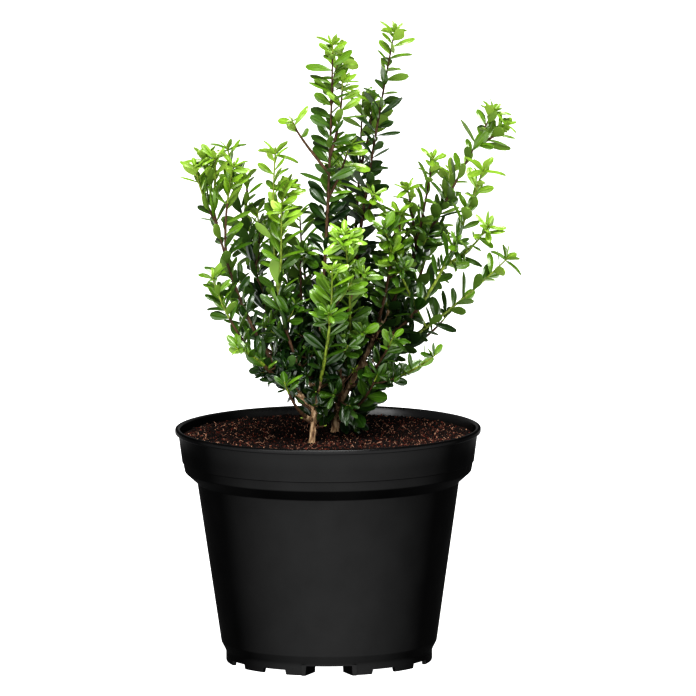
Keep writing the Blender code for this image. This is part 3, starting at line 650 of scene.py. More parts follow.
def flake_shape(width, thickness, bend):
    """A thin curved flake or fibre, one unit long in X and made of a few boxes."""
    shape = bmesh.new()
    bmesh.ops.create_cube(shape, size=1)
    across = [edge for edge in shape.edges if abs(edge.verts[0].co.x - edge.verts[1].co.x) > 0.5]
    bmesh.ops.subdivide_edges(shape, edges=across, cuts=3, use_grid_fill=True)
    for vert in shape.verts:
        x = vert.co.x
        taper = 1 - FLAKE_TAPER * x * x
        vert.co = Vector((x, vert.co.y * width * taper, vert.co.z * thickness))
        vert.co.z += bend * (0.25 - x * x)
        vert.co.y += bend * math.sin(3 * x)
    return shape


BITS = {}
for name, shape in (("crumb", crumb_shape(5)), ("lump", crumb_shape(11)),
                    ("flake", flake_shape(0.42, 0.16, 0.08)),
                    ("fibre", flake_shape(0.11, 0.08, 0.22))):
    BITS[name] = link_piece("bit_" + name, mesh_from("bit_" + name, shape))

# Each finish of the loose bits has its colour, roughness and shine.
SOIL_FINISHES = {}
for name, colour, roughness, gloss in (
        ("peat", PEAT, 0.9, 0.3), ("loam", LOAM, 0.85, 0.35), ("red_bark", RED_BARK, 0.75, 0.4),
        ("pale_chip", PALE_CHIP, 0.8, 0.3), ("grey_chip", GREY_CHIP, 0.8, 0.3)):
    SOIL_FINISHES[name] = new_finish("soil_" + name, colour, roughness, Specular_IOR_Level=gloss)


def open_face():
    """The soil's top by itself, as the ground to scatter on."""
    shape = bmesh.new()
    shape.from_mesh(soil.data)
    hidden = [vert for vert in shape.verts if not is_top(vert.co + Vector((0, 0, SOIL_ROUGHNESS)))]
    bmesh.ops.delete(shape, geom=hidden, context="VERTS")
    return mesh_from("open_face", shape)


# %% Scatter the soil
# Each row is a piece: its bit, how many lie on a square metre, its sizes in mm and its lean.
SCATTERED = [
    ("soil_crumbs_peat", "crumb", 150000, (1.0, 2.8), 3.0, "peat"),
    ("soil_crumbs_loam", "lump", 120000, (0.8, 2.0), 3.0, "loam"),
    ("soil_bark_flakes", "flake", 60000, (0.8, 2.4), 1.4, "red_bark"),
    ("soil_pale_chips", "flake", 22000, (0.5, 1.5), 1.6, "pale_chip"),
    ("soil_grey_chips", "flake", 44000, (0.5, 1.8), 1.6, "grey_chip"),
    ("soil_fibres", "fibre", 26000, (1.4, 4.6), 1.2, "grey_chip"),
]
for seed, (name, kind, density, (low, high), lean_angle, look) in enumerate(SCATTERED, start=3):
    made = grow(open_face(), scatter, Bit=BITS[kind], Density=density, Seed=seed,
                Smallest=low * MM, Largest=high * MM, Lean=lean_angle, Finish=SOIL_FINISHES[look])
    finish_piece(name, made, sharp=40)

# %% [markdown]
# ## The shoots
#
# The shrub is two stems that stand in the soil, boughs that leave them low down, and a long
# leafy shoot on each. Every shoot is one smooth curve from its parent to the tip of its
# topmost leaf. The same table of curves made the solids, so the looks grow on from the limbs
# and stop at the same tips. Youth says how fresh a shoot's leaves are, from 0 for old and
# dark to 1 for soft and lime green. It is partly painted shade: the low, inner and back
# shoots get low values, so their darker leaves also stand in for the shade that falls there.

# %% The table of shoots
SHOOTS = []


def place(x, y, z):
    """A point or a reach of the plant, given in millimetres."""
    return Vector((x, y, z)) * MM


def shoot(name, parent, start, tip, bow, bare=0.2, radius=1.4, spurs=(), more=(), youth_and_light=0.4,
          bushy=1.0, inner=1.0, one_sided=0.35, green=8, wide=1.0, leafy=0.45):
    """One shoot: start is the share of its parent's curve at which it leaves it, or a point.

    bow is how far its middle lies off the straight line, bare the share of it with no leaves,
    and radius that of its foot in millimetres. spurs are the (start, tip, bow) of side shoots,
    with the share of them that has no leaves where there is one, and more those of finer ones
    that the solids leave out. bushy and inner say how many side twigs its leafy and its bare
    part have, one_sided how many leaves its lower side lacks, green how far its young green
    bark reaches down, in millimetres, wide how far its leaves stand off, and leafy the share
    of its bare wood below which it has no leaves.
    """
    SHOOTS.append({
        "name": name, "parent": parent, "start": start, "tip": place(*tip), "bow": place(*bow),
        "bare": bare, "radius": radius * MM, "spurs": [*spurs, *more], "youth_and_light": youth_and_light,
        "bushy": bushy, "inner": inner, "one_sided": one_sided, "green": green * MM,
        "wide": wide, "leafy": leafy,
    })


shoot("left_stem", None, (-10.1, -38, 140.6), (4.4, -10, 393.5), (2.4, 0, 0), 0.36, 1.9,
      [(0.83, (11.6, 12, 383), (-1.8, 0.4, 1.1)), (0.66, (-20.7, -22, 343.5), (-7.4, -0.5, 7), 0.4)],
      [(0.6, (16, -8, 331), (1, 0, -2)),
       (0.7, (10, -14, 371), (2.4, 0, -1))],
      youth_and_light=0.55, bushy=0.35, inner=1.6, one_sided=0.1, wide=1.25, leafy=0.4)
shoot("right_stem", None, (4.2, 3, 141.4), (43.9, 12, 398.5), (-2.9, 0, 0.8), 0.34, 2.4,
      [(0.52, (30.2, -8, 297), (1.4, 0.1, -0.4))], youth_and_light=0.5, inner=1.4,
      one_sided=0.1, wide=1.25, leafy=0.4)

# The left side, from the left stem
shoot("left_outer", "left_stem", 0.09, (-76, -22, 326), (-10, -5, -18), 0.24, 1.6,
      [(0.66, (-56, -36, 322), (-3, 0, -3))],
      [(0.78, (-82, -30, 319), (-2, 0, -1)), (0.84, (-69, -28, 326), (1, 0, -1))],
      youth_and_light=0.55, bushy=0.15, inner=2.2, one_sided=0.75, green=24, leafy=0.12)
shoot("left_upper", "left_outer", 0.14, (-62.6, 22, 325), (-2, 4, -6), 0.16,
      more=[(0.5, (-44, 10, 287), (2, 0, -2)), (0.7, (-51, 18, 307), (2, 0, -2))], bushy=0.15)
shoot("left_low", "left_outer", 0.07, (-72.5, -48, 253), (-7, -4, -6), 0.16,
      spurs=[(0.24, (-59.8, -66, 206.6), (1.6, 0, 1.9))], youth_and_light=0.35, bushy=0.1,
      one_sided=0.7, green=30)
shoot("left_inner", "left_stem", 0.13, (-31, -12, 328.6), (-10.7, -10, -18), 0.22,
      spurs=[(0.5, (-28, -42, 293.5), (0.7, 0, 0)), (0.64, (-25, 8, 300.5), (2.6, 0, 0.3))],
      more=[(0.75, (-24, -16, 306), (1, 0, -1))], youth_and_light=0.65, bushy=0.5, green=110)
shoot("front_left", "left_stem", 0.11, (2.9, -62, 259.4), (3.3, -7.7, 0), 0.14, 1.3, youth_and_light=0.45,
      bushy=0.3, inner=1.6, green=110, leafy=0.1)
shoot("left_centre", "left_stem", 0.2, (-15, -16, 268), (-5, 2, -6), 0.14, 1.2, youth_and_light=0.2)
shoot("low_left", "left_stem", 0.06, (-28, -64, 188), (-1, -4, -5), 0.22, 1.1, youth_and_light=0.05,
      bushy=0.2, one_sided=0, leafy=0.1)

# The back of the left side
shoot("back_left", "left_stem", 0.15, (-48, 55, 271.6), (-7, 12, -10), 0.24, bushy=0.35)
shoot("back_left_low", "back_left", 0.17, (-56, 36, 222), (-6, 4, -8), 0.14, 1.2, youth_and_light=0.1,
      bushy=0.2, one_sided=0.8)

# The middle, from the right stem
shoot("front_centre", "right_stem", 0.09, (9.7, -52, 281), (5.7, -6.7, -6.4), 0.2, 1.5,
      more=[(0.9, (4, -57, 273.5), (0, 0, -0.5)), (0.91, (16, -56, 274), (0, 0, -0.5))],
      youth_and_light=0.7, bushy=0.35, green=130, leafy=0.2)
shoot("front_low", "right_stem", 0.05, (8, -42, 214), (1, -9, -7), 0.2, 1.2, youth_and_light=0.15,
      bushy=0.8)
shoot("centre", "right_stem", 0.17, (22.8, 42, 355), (1.7, 5.9, -6), 0.22,
      more=[(0.72, (29, 38, 352), (2, 0, -1))])
shoot("back_mid_left", "right_stem", 0.12, (-17, 62, 280), (-6, 12, -10), 0.22, bushy=0.35)
shoot("back_mid", "right_stem", 0.075, (12, 72, 305), (2, 16, -14), 0.22, 1.5)
shoot("back_low", "back_mid", 0.12, (6, 84, 222), (-2, 7, -9), 0.16, 1.2, youth_and_light=0.1,
      bushy=0.7)

# The right side, on its own main bough
shoot("right_long", "right_stem", 0.06, (106.5, 14, 347), (-0.6, 0, -0.4), 0.32, 2.0,
      [(0.47, (66.7, -14, 321.3), (0.7, 0, 0)), (0.62, (77, 34, 308), (2.1, -1.2, -2))],
      [(0.42, (44, -8, 288), (0, 0, -1)), (0.5, (49, 2, 301), (1, 0, -1)),
       (0.86, (115, 8, 338), (1, 0, -2))],
      youth_and_light=0.55, bushy=0.4, inner=0.4, leafy=0.7)
shoot("right_mid", "right_long", 0.22, (99.5, -26, 319.3), (0.6, 2.5, -26), 0.18,
      spurs=[(0.62, (102, -44, 281.2), (2.1, 0, -2.3))], youth_and_light=0.55, bushy=0.2,
      one_sided=0.35, green=90)
shoot("right_outer", "right_long", 0.14, (117, 16, 254), (-2.2, 2, -8.5), 0.18,
      spurs=[(0.45, (37.7, -22, 263.5), (-0.8, 0, 0.4))], youth_and_light=0.45, bushy=0.1,
      one_sided=0.5, green=100)
shoot("right_low", "right_long", 0.08, (70.6, -46, 201), (-0.7, -3.7, -6.4), 0.24, 1.2, youth_and_light=0.2,
      bushy=0.3, inner=0.6, one_sided=0.4, green=80)
shoot("right_centre", "right_long", 0.2, (43, -16, 283), (2, -3, -6), 0.14, 1.2, youth_and_light=0.3,
      bushy=0.5)
shoot("right_front_low", "right_low", 0.1, (43, -50, 214), (-1, -5, -5), 0.2, 1.1,
      youth_and_light=0.15, bushy=0.3, one_sided=0.6)
shoot("low_right", "right_stem", 0.035, (33, -36, 190), (2, -5, -5), 0.22, 1.1, youth_and_light=0.05,
      bushy=0.2, one_sided=0, leafy=0.1)

# Short old twigs at both stems' feet, which the solids leave out
# Set fully old, their leaves take dark tones, which partly paint the shade low over the soil.
for name, stem, start, tip, bow in (
        ("right_foot", "right_stem", 0.028, (19, -7, 151), (1, 0, 1.5)),
        ("between_feet", "right_stem", 0.03, (-7, -2, 153), (0, 0, 1.5)),
        ("left_foot", "left_stem", 0.05, (-20, -36, 158), (0, 0, 1)),
        ("left_side", "left_stem", 0.08, (-22, -30, 168), (0, 0, 1))):
    shoot(name, stem, start, tip, bow, 0.1, 1.0, youth_and_light=0, bushy=0, inner=0, one_sided=0, green=0)

# The back of the right side
shoot("back_mid_right", "right_long", 0.18, (42, 66, 258), (2, 10, -12), 0.2)
shoot("back_right", "right_long", 0.26, (66, 48, 272), (6, 8, -10), 0.18, 1.3, bushy=0.2,
      one_sided=0.6)
shoot("back_right_low", "right_outer", 0.12, (78, 46, 214), (3, 6, -6), 0.14, 1.1, youth_and_light=0.1,
      bushy=0.1, one_sided=0.8)
print("shoots:", len(SHOOTS))

# %% [markdown]
# A curve is held as its root, a point that pulls its middle, and its tip. A few short
# functions read points, headings and lengths from it. Points along a curve are spaced by a
# step in metres, so a long shoot has more of them than a short one.

# %% Curves
SEAT_DEPTH = 0.8 * MM


def bowed(root, tip, bow):
    """The curve from root to tip whose middle lies off the straight line by bow."""
    return root, (root + tip) / 2 + 2 * bow, tip


def curve_at(curve, t):
    """A point at share t of a curve."""
    root, middle, tip = curve
    return root * (1 - t) ** 2 + middle * 2 * t * (1 - t) + tip * t**2


def heading(curve, t):
    """The direction of a curve at share t."""
    root, middle, tip = curve
    return ((middle - root) * (1 - t) + (tip - middle) * t).normalized()


def sideways(axis, turn):
    """A direction square to an axis, turned about it by an angle."""
    side = axis.orthogonal().normalized()
    side.rotate(Matrix.Rotation(turn, 3, axis))
    return side


def curve_length(curve, first=0.0, last=1.0, parts=24):
    stops = [curve_at(curve, first + (last - first) * i / parts) for i in range(parts + 1)]
    return sum((b - a).length for a, b in zip(stops, stops[1:]))


def curve_shares(curve, first, last, step):
    """Shares of a curve from first to last, about step apart, both ends included."""
    count = max(2, round(curve_length(curve, first, last) / step))
    return [first + (last - first) * i / count for i in range(count + 1)]


BY_NAME = {one["name"]: one for one in SHOOTS}
for one in SHOOTS:
    if one["parent"]:
        root = curve_at(BY_NAME[one["parent"]]["curve"], one["start"])
    else:
        root = place(*one["start"])
        root.z = ground_height(root.x, root.y) - SEAT_DEPTH
    one["curve"] = bowed(root, one["tip"], one["bow"])
    one["spurs"] = [
        (bowed(curve_at(one["curve"], start), place(*tip), place(*bow)), late[0] if late else 0.0)
        for start, tip, bow, *late in one["spurs"]
    ]
reach = sum(curve_length(one["curve"]) for one in SHOOTS)
print(f"all shoots end to end: {reach:.2f} m")


def side_of(one):
    """The stem that a shoot grows from in the end, left or right."""
    while one["parent"]:
        one = BY_NAME[one["parent"]]
    return one["name"].replace("_stem", "")


# %% [markdown]
# ## Stems and boughs
#
# A young holly's wood is thin and knotty: each old leaf left a swelling, the foot flares at
# the soil, and a bough leaves its stem with a collar. Tubes that only poke into each other
# show a hard ring at every fork, so the tubes of one stem and its boughs are remeshed by
# small voxels, which melts the forks together. A tree then raises the bark's ridges.

# %% A tree that sweeps lines into tubes
sweep, given = start_tree("sweep_lines", Sides="Int", Finish="Material")
lines = add_node(sweep, "GeometryNodeMeshToCurve", {"Mesh": given["Geometry"]})
ring = add_node(sweep, "GeometryNodeCurvePrimitiveCircle", {
    "Resolution": given["Sides"], "Radius": 1.0})
tubes = add_node(sweep, "GeometryNodeCurveToMesh", {
    "Curve": lines, "Profile Curve": ring, "Scale": named(sweep, "thickness", "FLOAT"),
    "Fill Caps": True})
end_tree(sweep, tubes, {"Material": given["Finish"]})


def lines_mesh(name, lines):
    """Lines of (point, radius) pairs as a mesh of edges that remembers each radius."""
    points, edges = [], []
    for line in lines:
        edges += [(len(points) + i, len(points) + i + 1) for i in range(len(line) - 1)]
        points += line
    mesh = bpy.data.meshes.new(name)
    mesh.from_pydata([point for point, _ in points], edges, [])
    radii = [radius for _, radius in points]
    mesh.attributes.new("thickness", "FLOAT", "POINT").data.foreach_set("value", radii)
    return mesh


# %% The limbs' lines
TWIG_RADIUS = 1.2 * MM
FLARE_HEIGHT = 3.5 * MM
FLARE = 0.45
COLLAR_HEIGHT = 3.0 * MM
COLLAR = 0.35
KNOT_SPACING = 8.5 * MM
FIRST_KNOT = (0.5, 1.0)
KNOT_CHANGE = (0.6, 1.4)
KNOT_SIZE = 0.2
KNOT_LENGTH = 1.3 * MM
LIMB_STEP = 0.7 * MM
LIMB_SIDES = 18


def limb_radius(one, share):
    """An even taper along the bare foot, with a flare or a collar at its root."""
    radius = one["radius"] + (TWIG_RADIUS - one["radius"]) * share / one["bare"]
    wider, reach = (COLLAR, COLLAR_HEIGHT) if one["parent"] else (FLARE, FLARE_HEIGHT)
    height = share * curve_length(one["curve"])
    return radius + one["radius"] * wider * math.exp(-height / reach)


def limb_line(one):
    """A limb as (point, radius) pairs, with a swelling at each knot."""
    rule = random.Random("knots " + one["name"])
    curve, length = one["curve"], curve_length(one["curve"])
    knots, height = [], KNOT_SPACING * rule.uniform(*FIRST_KNOT)
    while height < one["bare"] * length:
        knots.append(height)
        height += KNOT_SPACING * rule.uniform(*KNOT_CHANGE)
    line = []
    for share in curve_shares(curve, 0, one["bare"] + 0.01, LIMB_STEP):
        swell = sum(math.exp(-(((share * length - knot) / KNOT_LENGTH) ** 2)) for knot in knots)
        line.append((curve_at(curve, share), limb_radius(one, share) * (1 + KNOT_SIZE * swell)))
    return line


# %% [markdown]
# Bark on wood this young is thin: grey-brown, lighter on the ridges, darker and redder in
# the cracks between them. One stretched noise gives the ridges, in the mesh and in the
# colour alike, and a fine one gives the grain.

# %% Bark
BARK_DARK = from_screen(88, 66, 50)
BARK_MID = from_screen(152, 126, 98)
BARK_LIGHT = from_screen(206, 182, 152)
RIDGE_SCALE = 620
RIDGE_STRETCH = (1, 1, 0.28)
BARK_GRAIN = 2600
BARK_RELIEF = 0.0002

bark = new_finish("bark", BARK_MID, 0.82, Specular_IOR_Level=0.3)
tree = bark.node_tree
colour_by(tree, add_noise(tree, RIDGE_SCALE, 4, RIDGE_STRETCH),
          (0.32, BARK_DARK), (0.5, BARK_MID), (0.68, BARK_LIGHT))
add_bump(tree, add_noise(tree, BARK_GRAIN, 4, RIDGE_STRETCH), BARK_RELIEF, 0.8)

raise_bark, given = start_tree("raise_bark", Depth="Float", Finish="Material")
spot = add_node(raise_bark, "GeometryNodeInputPosition")
squeezed = calculate(raise_bark, "MULTIPLY", spot, RIDGE_STRETCH, kind="VectorMath")
relief = add_node(raise_bark, "ShaderNodeTexNoise", {
    "Vector": squeezed, "Scale": RIDGE_SCALE, "Detail": 2.0})
centred = calculate(raise_bark, "SUBTRACT", relief, 0.5)
scaled = calculate(raise_bark, "MULTIPLY", centred, given["Depth"])
outward = add_node(raise_bark, "GeometryNodeInputNormal")
push = add_node(raise_bark, "ShaderNodeVectorMath", {0: outward, "Scale": scaled},
                operation="SCALE")
raised = add_node(raise_bark, "GeometryNodeSetPosition", {
    "Geometry": given["Geometry"], "Offset": push})
end_tree(raise_bark, raised, {"Material": given["Finish"]})

# %% Melt the forks together and raise the bark
WOOD_VOXEL = 0.42 * MM
BARK_DEPTH = 0.75 * MM

for side in ("left", "right"):
    limbs = [one for one in SHOOTS if side_of(one) == side]
    tubes = grow(lines_mesh("limbs", [limb_line(one) for one in limbs]), sweep,
                 Sides=LIMB_SIDES, Finish=bark)
    melted = link_piece("wood_blank", tubes)
    add_modifier(melted, "REMESH", mode="VOXEL", voxel_size=WOOD_VOXEL)
    add_modifier(melted, "SMOOTH", factor=0.5, iterations=3)
    wood = grow(take_mesh(melted), raise_bark, Depth=BARK_DEPTH, Finish=bark)
    nodes = [node for node in frame["nodes"] for one in limbs
             if node in (f"bough_{one['name']}", f"stem_{one['name'].replace('_stem', '')}")]
    finish_piece("wood_" + side, wood, nodes, 180)

# %% [markdown]
# ## Where twigs and leaves may go
#
# Leaves must not pass through the limbs, the rim or the soil. A leaf that would be cut by one
# closes up towards its own twig, and is left out if that doesn't help. The crown keeps a
# narrow waist over the soil, and some of its wood stays open to the front.

# %% Free room and side twigs
SEED = 24
TWIGLET_LENGTH = 22 * MM
TWIGLET_CHANGE = 0.3
TWIGLET_PLACE = (0.1, 0.8)
TWIGLET_SPACING = 12 * MM
TWIGLET_SPREAD = math.radians(41)
TWIGLET_BOW = 0.05
TWIGLET_RADIUS = 0.62 * MM
TWIGLET_CEILING = (235 * MM, 300 * MM)
SPUR_RADIUS = 0.95 * MM
TIP_RADIUS = 0.42 * MM
SAMPLE_STEP = 1.2 * MM
LEADER_END, SPUR_END = 0.97, 0.95
ROOM = 2.6 * MM
ROOM_OVER_POT = 3 * MM
RIM_MARGIN = 2 * MM
GOLDEN_TURN = math.radians(137.5)

# (point, radius) along every limb, leader and spur
WOOD = []
for one in SHOOTS:
    for share in curve_shares(one["curve"], 0, LEADER_END, SAMPLE_STEP):
        radius = limb_radius(one, share) if share < one["bare"] else TWIG_RADIUS
        WOOD.append((curve_at(one["curve"], share), radius))
    for spur, _ in one["spurs"]:
        shares = curve_shares(spur, 0, SPUR_END, SAMPLE_STEP)
        WOOD += [(curve_at(spur, share), SPUR_RADIUS) for share in shares]
WOOD_TREE = kdtree.KDTree(len(WOOD))
for index, (point, _) in enumerate(WOOD):
    WOOD_TREE.insert(point, index)
WOOD_TREE.balance()


def above_pot(point, margin=1 * MM):
    """True over the soil inside the rim, and over the rim's top outside it."""
    inside = math.hypot(point.x, point.y) < COLLAR_TOP - WALL - RIM_MARGIN
    return point.z > (ground_height(point.x, point.y) if inside else POT_HEIGHT) + margin


WAIST_FOOT = Vector((4.5 * MM, -14 * MM, 160 * MM))
WAIST_RADIUS = 23.5 * MM
WAIST_SLOPE = 1.25
WAIST_DEPTH = 0.8
WAIST_TOP = 215 * MM


def in_waist(point):
    """True within the narrow waist that the crown has over the soil."""
    away = point - WAIST_FOOT
    widest = WAIST_RADIUS + WAIST_SLOPE * max(0, away.z)
    return point.z > WAIST_TOP or math.hypot(away.x, away.y * WAIST_DEPTH) < widest


# Wood that the photo shows bare to the front: the shoot, the share of it where that ends, and
# how wide it is kept open.
OPEN_FRONT = [
    ("left_stem", 0.075, 4 * MM), ("right_stem", 0.085, 4 * MM), ("right_long", 0.25, 4 * MM),
    ("front_centre", 0.72, 1.8 * MM), ("front_left", 0.55, 1.5 * MM),
]
SEEN_WOOD = [
    (curve_at(BY_NAME[name]["curve"], share), width)
    for name, last, width in OPEN_FRONT
    for share in curve_shares(BY_NAME[name]["curve"], 0, last, SAMPLE_STEP)
]


def hides_wood(point):
    """True in front of the wood that stays in view, as seen from a little above."""
    slope = math.tan(VIEW_ELEVATION)
    for wood, width in SEEN_WOOD:
        nearer = wood.y - point.y
        rise = point.z - wood.z - nearer * slope
        if nearer > 0 and math.hypot(point.x - wood.x, rise) < width:
            return True
    return False


def side_twig(curve, t, turn, length, spread):
    """A short twig that leaves a curve at share t, or nothing where wood is in its way."""
    root, axis = curve_at(curve, t), heading(curve, t)
    side = sideways(axis, turn)
    direction = axis * math.cos(spread) + side * math.sin(spread)
    twig = bowed(root, root + direction * length, (side - axis) * length * TWIGLET_BOW)
    outer = [curve_at(twig, share) for share in (0.5, 0.75, 1.0)]
    clear = all(WOOD_TREE.find(point)[2] > ROOM and above_pot(point, ROOM_OVER_POT)
                and in_waist(point) for point in outer)
    return twig if clear else None


def twiglets(one, rule):
    """(curve, age at its tip) of side twigs along a leader: many low down, none high up."""
    made = []
    curve = one["curve"]
    leader = curve_length(curve, one["bare"], 1.0)
    count = int(leader / TWIGLET_SPACING)
    turn = rule.uniform(0, math.tau)
    low, high = TWIGLET_CEILING
    for i in range(count):
        share = (i + rule.uniform(*TWIGLET_PLACE)) / (count + 1)
        t = one["bare"] + (1 - one["bare"]) * share
        length = TWIGLET_LENGTH * (1 + rule.uniform(-TWIGLET_CHANGE, TWIGLET_CHANGE))
        turn += GOLDEN_TURN
        wanted = one["bushy"] * min(1, max(0, (high - curve_at(curve, t).z) / (high - low)))
        twig = side_twig(curve, t, turn, length, TWIGLET_SPREAD)
        if rule.random() < wanted and twig:
            made.append((twig, (1 - share) * 0.5 * leader))
    return made


# %% Twigs on the bare wood
# Short leafy twigs also stand on the limbs below the leaders and round both stems' feet, so
# that dark leaves hide the forks and hang low over the soil. Their leaves are set old, so
# they take the darkest tones: partly painted shade under the crown.
INNER_SPACING = 7 * MM
INNER_LENGTHS = (11 * MM, 18 * MM)
INNER_CHANGE = (0.75, 1.25)
INNER_HEIGHTS = (155 * MM, 200 * MM)
INNER_SPREAD = math.radians(60)
INNER_LEAN = (0.8, 1.25)
INNER_START = 8 * MM
# The inner twigs' leaves start this much older, which darkens them: partly painted shade.
OLD_AND_SHADED = 40 * MM


def inner_twigs(one, rule):
    made = []
    curve = one["curve"]
    bare_length = curve_length(curve, 0, one["bare"])
    count = round(one["inner"] * bare_length / INNER_SPACING)
    turn = rule.uniform(0, math.tau)
    low, high = INNER_HEIGHTS
    short, long = INNER_LENGTHS
    for i in range(count):
        t = one["bare"] * (i + rule.random()) / count
        height = min(1, max(0, (curve_at(curve, t).z - low) / (high - low)))
        length = (short + (long - short) * height) * rule.uniform(*INNER_CHANGE)
        spread = INNER_SPREAD * rule.uniform(*INNER_LEAN)
        turn += GOLDEN_TURN
        twig = side_twig(curve, t, turn, length, spread)
        if twig and t * curve_length(curve) > (INNER_START if one["parent"] is None else 0):
            made.append(twig)
    return made


def sprays_of(one):
    """Every twig of a shoot: (curve, its first share, its first share with leaves, start
    radius, youth, age at its tip)."""
    rule = random.Random(f"{SEED} twigs {one['name']}")
    youth_and_light, bare = one["youth_and_light"], one["bare"]
    sprays = [(one["curve"], bare, bare * one["leafy"], TWIG_RADIUS, youth_and_light, 0)]
    sprays += [(spur, 0.0, late, SPUR_RADIUS, youth_and_light, 0) for spur, late in one["spurs"]]
    sprays += [(twig, 0.0, 0.0, TWIGLET_RADIUS, youth_and_light, age) for twig, age in twiglets(one, rule)]
    sprays += [(twig, 0.0, 0.0, TWIGLET_RADIUS, 0.0, OLD_AND_SHADED) for twig in inner_twigs(one, rule)]
    return sprays


SPRAYS = {one["name"]: sprays_of(one) for one in SHOOTS}
print("twigs:", sum(len(sprays) for sprays in SPRAYS.values()))

# %% [markdown]
# ## The twigs
#
# Old twigs are a dull purple brown and the last growth is yellow green. Each twig is a line
# with a radius at every point, a little thicker at small swellings spaced along it, and the
# sweeping tree turns all lines of one colour into one piece.

# %% Twigs
TWIG_STEP = 1.6 * MM
TWIG_SIDES = 7
NODE_SWELL = 0.16
NODE_CHANGE = (0.6, 1.2)
NODE_TURN = 2.4
BARE_TIP = 4 * MM
YOUNG_SIDE_TWIG = 40 * MM
OLD_TWIG = from_screen(76, 56, 39)
NEW_TWIG = from_screen(115, 130, 50)
TWIG_GRAIN = 700
GRAIN_CHANGE = 0.35


def twig_finish(name, colour, roughness):
    """Young bark: its colour comes and goes in small flecks along the twig."""
    material = new_finish(name, colour, roughness, Specular_IOR_Level=0.35)
    tree = material.node_tree
    low, high = [tuple(change * value for value in colour)
                 for change in (1 - GRAIN_CHANGE, 1 + GRAIN_CHANGE)]
    colour_by(tree, add_noise(tree, TWIG_GRAIN, 3, (1, 1, 0.4)), (0.38, low), (0.62, high))
    return material


def twig_lines(curve, first, radius, green, rule):
    """The old and the new stretch of one twig, each a line of (point, radius) pairs."""
    length = curve_length(curve, first, 1.0)
    last = 1 - min(BARE_TIP, 0.3 * length) / length * (1 - first)
    shares = curve_shares(curve, first, last, TWIG_STEP)
    points = []
    for i, share in enumerate(shares):
        along = i / (len(shares) - 1)
        size = radius + (TIP_RADIUS - radius) * along
        swell = 1 + NODE_SWELL * (0.5 + 0.5 * math.sin(NODE_TURN * i)) * rule.uniform(*NODE_CHANGE)
        points.append((curve_at(curve, share), size * swell, (1 - along) * length))
    old = [(point, size) for point, size, to_tip in points if to_tip > green]
    new = [(point, size) for point, size, to_tip in points if to_tip <= green]
    if old and new:
        new.insert(0, old[-1])
    return old, new


old_lines, new_lines = [], []
for one in SHOOTS:
    rule = random.Random(f"{SEED} swellings {one['name']}")
    for curve, first, _, radius, youth_and_light, _ in SPRAYS[one["name"]]:
        green = one["green"] if radius > TWIGLET_RADIUS else YOUNG_SIDE_TWIG * youth_and_light
        old, new = twig_lines(curve, first, radius, green, rule)
        old_lines += [old] if len(old) > 1 else []
        new_lines += [new] if len(new) > 1 else []

masses = [node for node in frame["nodes"] if node.startswith("foliage_")]
for name, lines, look, slot in (
        ("twigs_old", old_lines, twig_finish("old_twig", OLD_TWIG, 0.7), "bark"),
        ("twigs_new", new_lines, twig_finish("new_twig", NEW_TWIG, 0.5), "foliage")):
    made = grow(lines_mesh(name, lines), sweep, Sides=TWIG_SIDES, Finish=look)
    finish_piece(name, made, masses, 60)

# %% [markdown]
# ## One leaf
#
# The leaf is small, about 16 mm long, widest past its middle, with a blunt tip and a short
# stalk. Its blade is pressed down along the midrib, domed on both sides of it, rolled down
# at the edges and arched back along its length, which makes the long white glints of the
# real leaves. It is a closed shell with a strip for the midrib and a plainer underside.

# %% The leaf's shape
LEAF_LENGTH = 15.8 * MM
LEAF_WIDTH = 6.4 * MM
LEAF_ROWS = (0.0, 0.12, 0.28, 0.46, 0.64, 0.81, 0.94, 1.0)
LEAF_WIDEST = 0.66
BLUNT = 0.52
TIP_HALF = 0.34
STALK_HALF = 0.045
RIB_HALF = 0.07
RIB_DEPTH = 0.05
RIB_REACH = 0.16
DOME = 0.09
EDGE_ROLL = 0.1
ARCH = 0.38
ARCH_POWER = 2.2
UNDER = 0.045


def half_width(t):
    """Half the leaf's width at share t of its length, where 1 is its greatest."""
    power = math.log(0.5) / math.log(LEAF_WIDEST)
    blade = math.sin(math.pi * t**power) if 0.1 < t < 1 else 0
    return max(STALK_HALF * 2 if t < 0.5 else TIP_HALF, blade**BLUNT)


def leaf_point(t, across):
    """A point of the upper side, at share t of the length and across from -1 to 1."""
    width = half_width(t)
    blade = min(1, 5 * t) * min(1, 6 * (1 - t) + 0.15)
    dome = DOME * math.sin(math.pi * min(1, abs(across) * 1.1)) - EDGE_ROLL * across**2
    rib = -RIB_DEPTH * math.exp(-((across / RIB_REACH) ** 2))
    out = (dome + rib) * blade - ARCH * t**ARCH_POWER
    return Vector((across * width / 2, out, t))


def leaf_shape():
    """A unit leaf along +Z with its upper side at +Y: faces know their part by a number."""
    columns = (-1, -0.5, -RIB_HALF, RIB_HALF, 0.5, 1)
    shape = bmesh.new()
    part = shape.faces.layers.int.new("part")
    rows = []
    for t in LEAF_ROWS:
        top = [shape.verts.new(leaf_point(t, across)) for across in columns]
        below = leaf_point(t, 0) - Vector((0, UNDER + RIB_DEPTH * min(1, 4 * t), 0))
        rows.append((top, shape.verts.new(below)))
    for (near, near_under), (far, far_under) in zip(rows, rows[1:]):
        for i in range(len(columns) - 1):
            face = shape.faces.new((near[i], near[i + 1], far[i + 1], far[i]))
            face[part] = 1 if i == 2 else 0
        shape.faces.new((near[0], far[0], far_under, near_under))[part] = 2
        shape.faces.new((near_under, far_under, far[-1], near[-1]))[part] = 2
    for top, under in (rows[0], rows[-1]):
        shape.faces.new(top + [under])[part] = 2
    bmesh.ops.recalc_face_normals(shape, faces=shape.faces)
    for vert in shape.verts:
        vert.co = Vector((vert.co.x * LEAF_WIDTH, vert.co.y * LEAF_WIDTH, vert.co.z * LEAF_LENGTH))
    return shape


LEAF = link_piece("one_leaf", mesh_from("one_leaf", leaf_shape()))
smooth(LEAF.data, 50)
print("faces of one leaf:", len(LEAF.data.polygons))
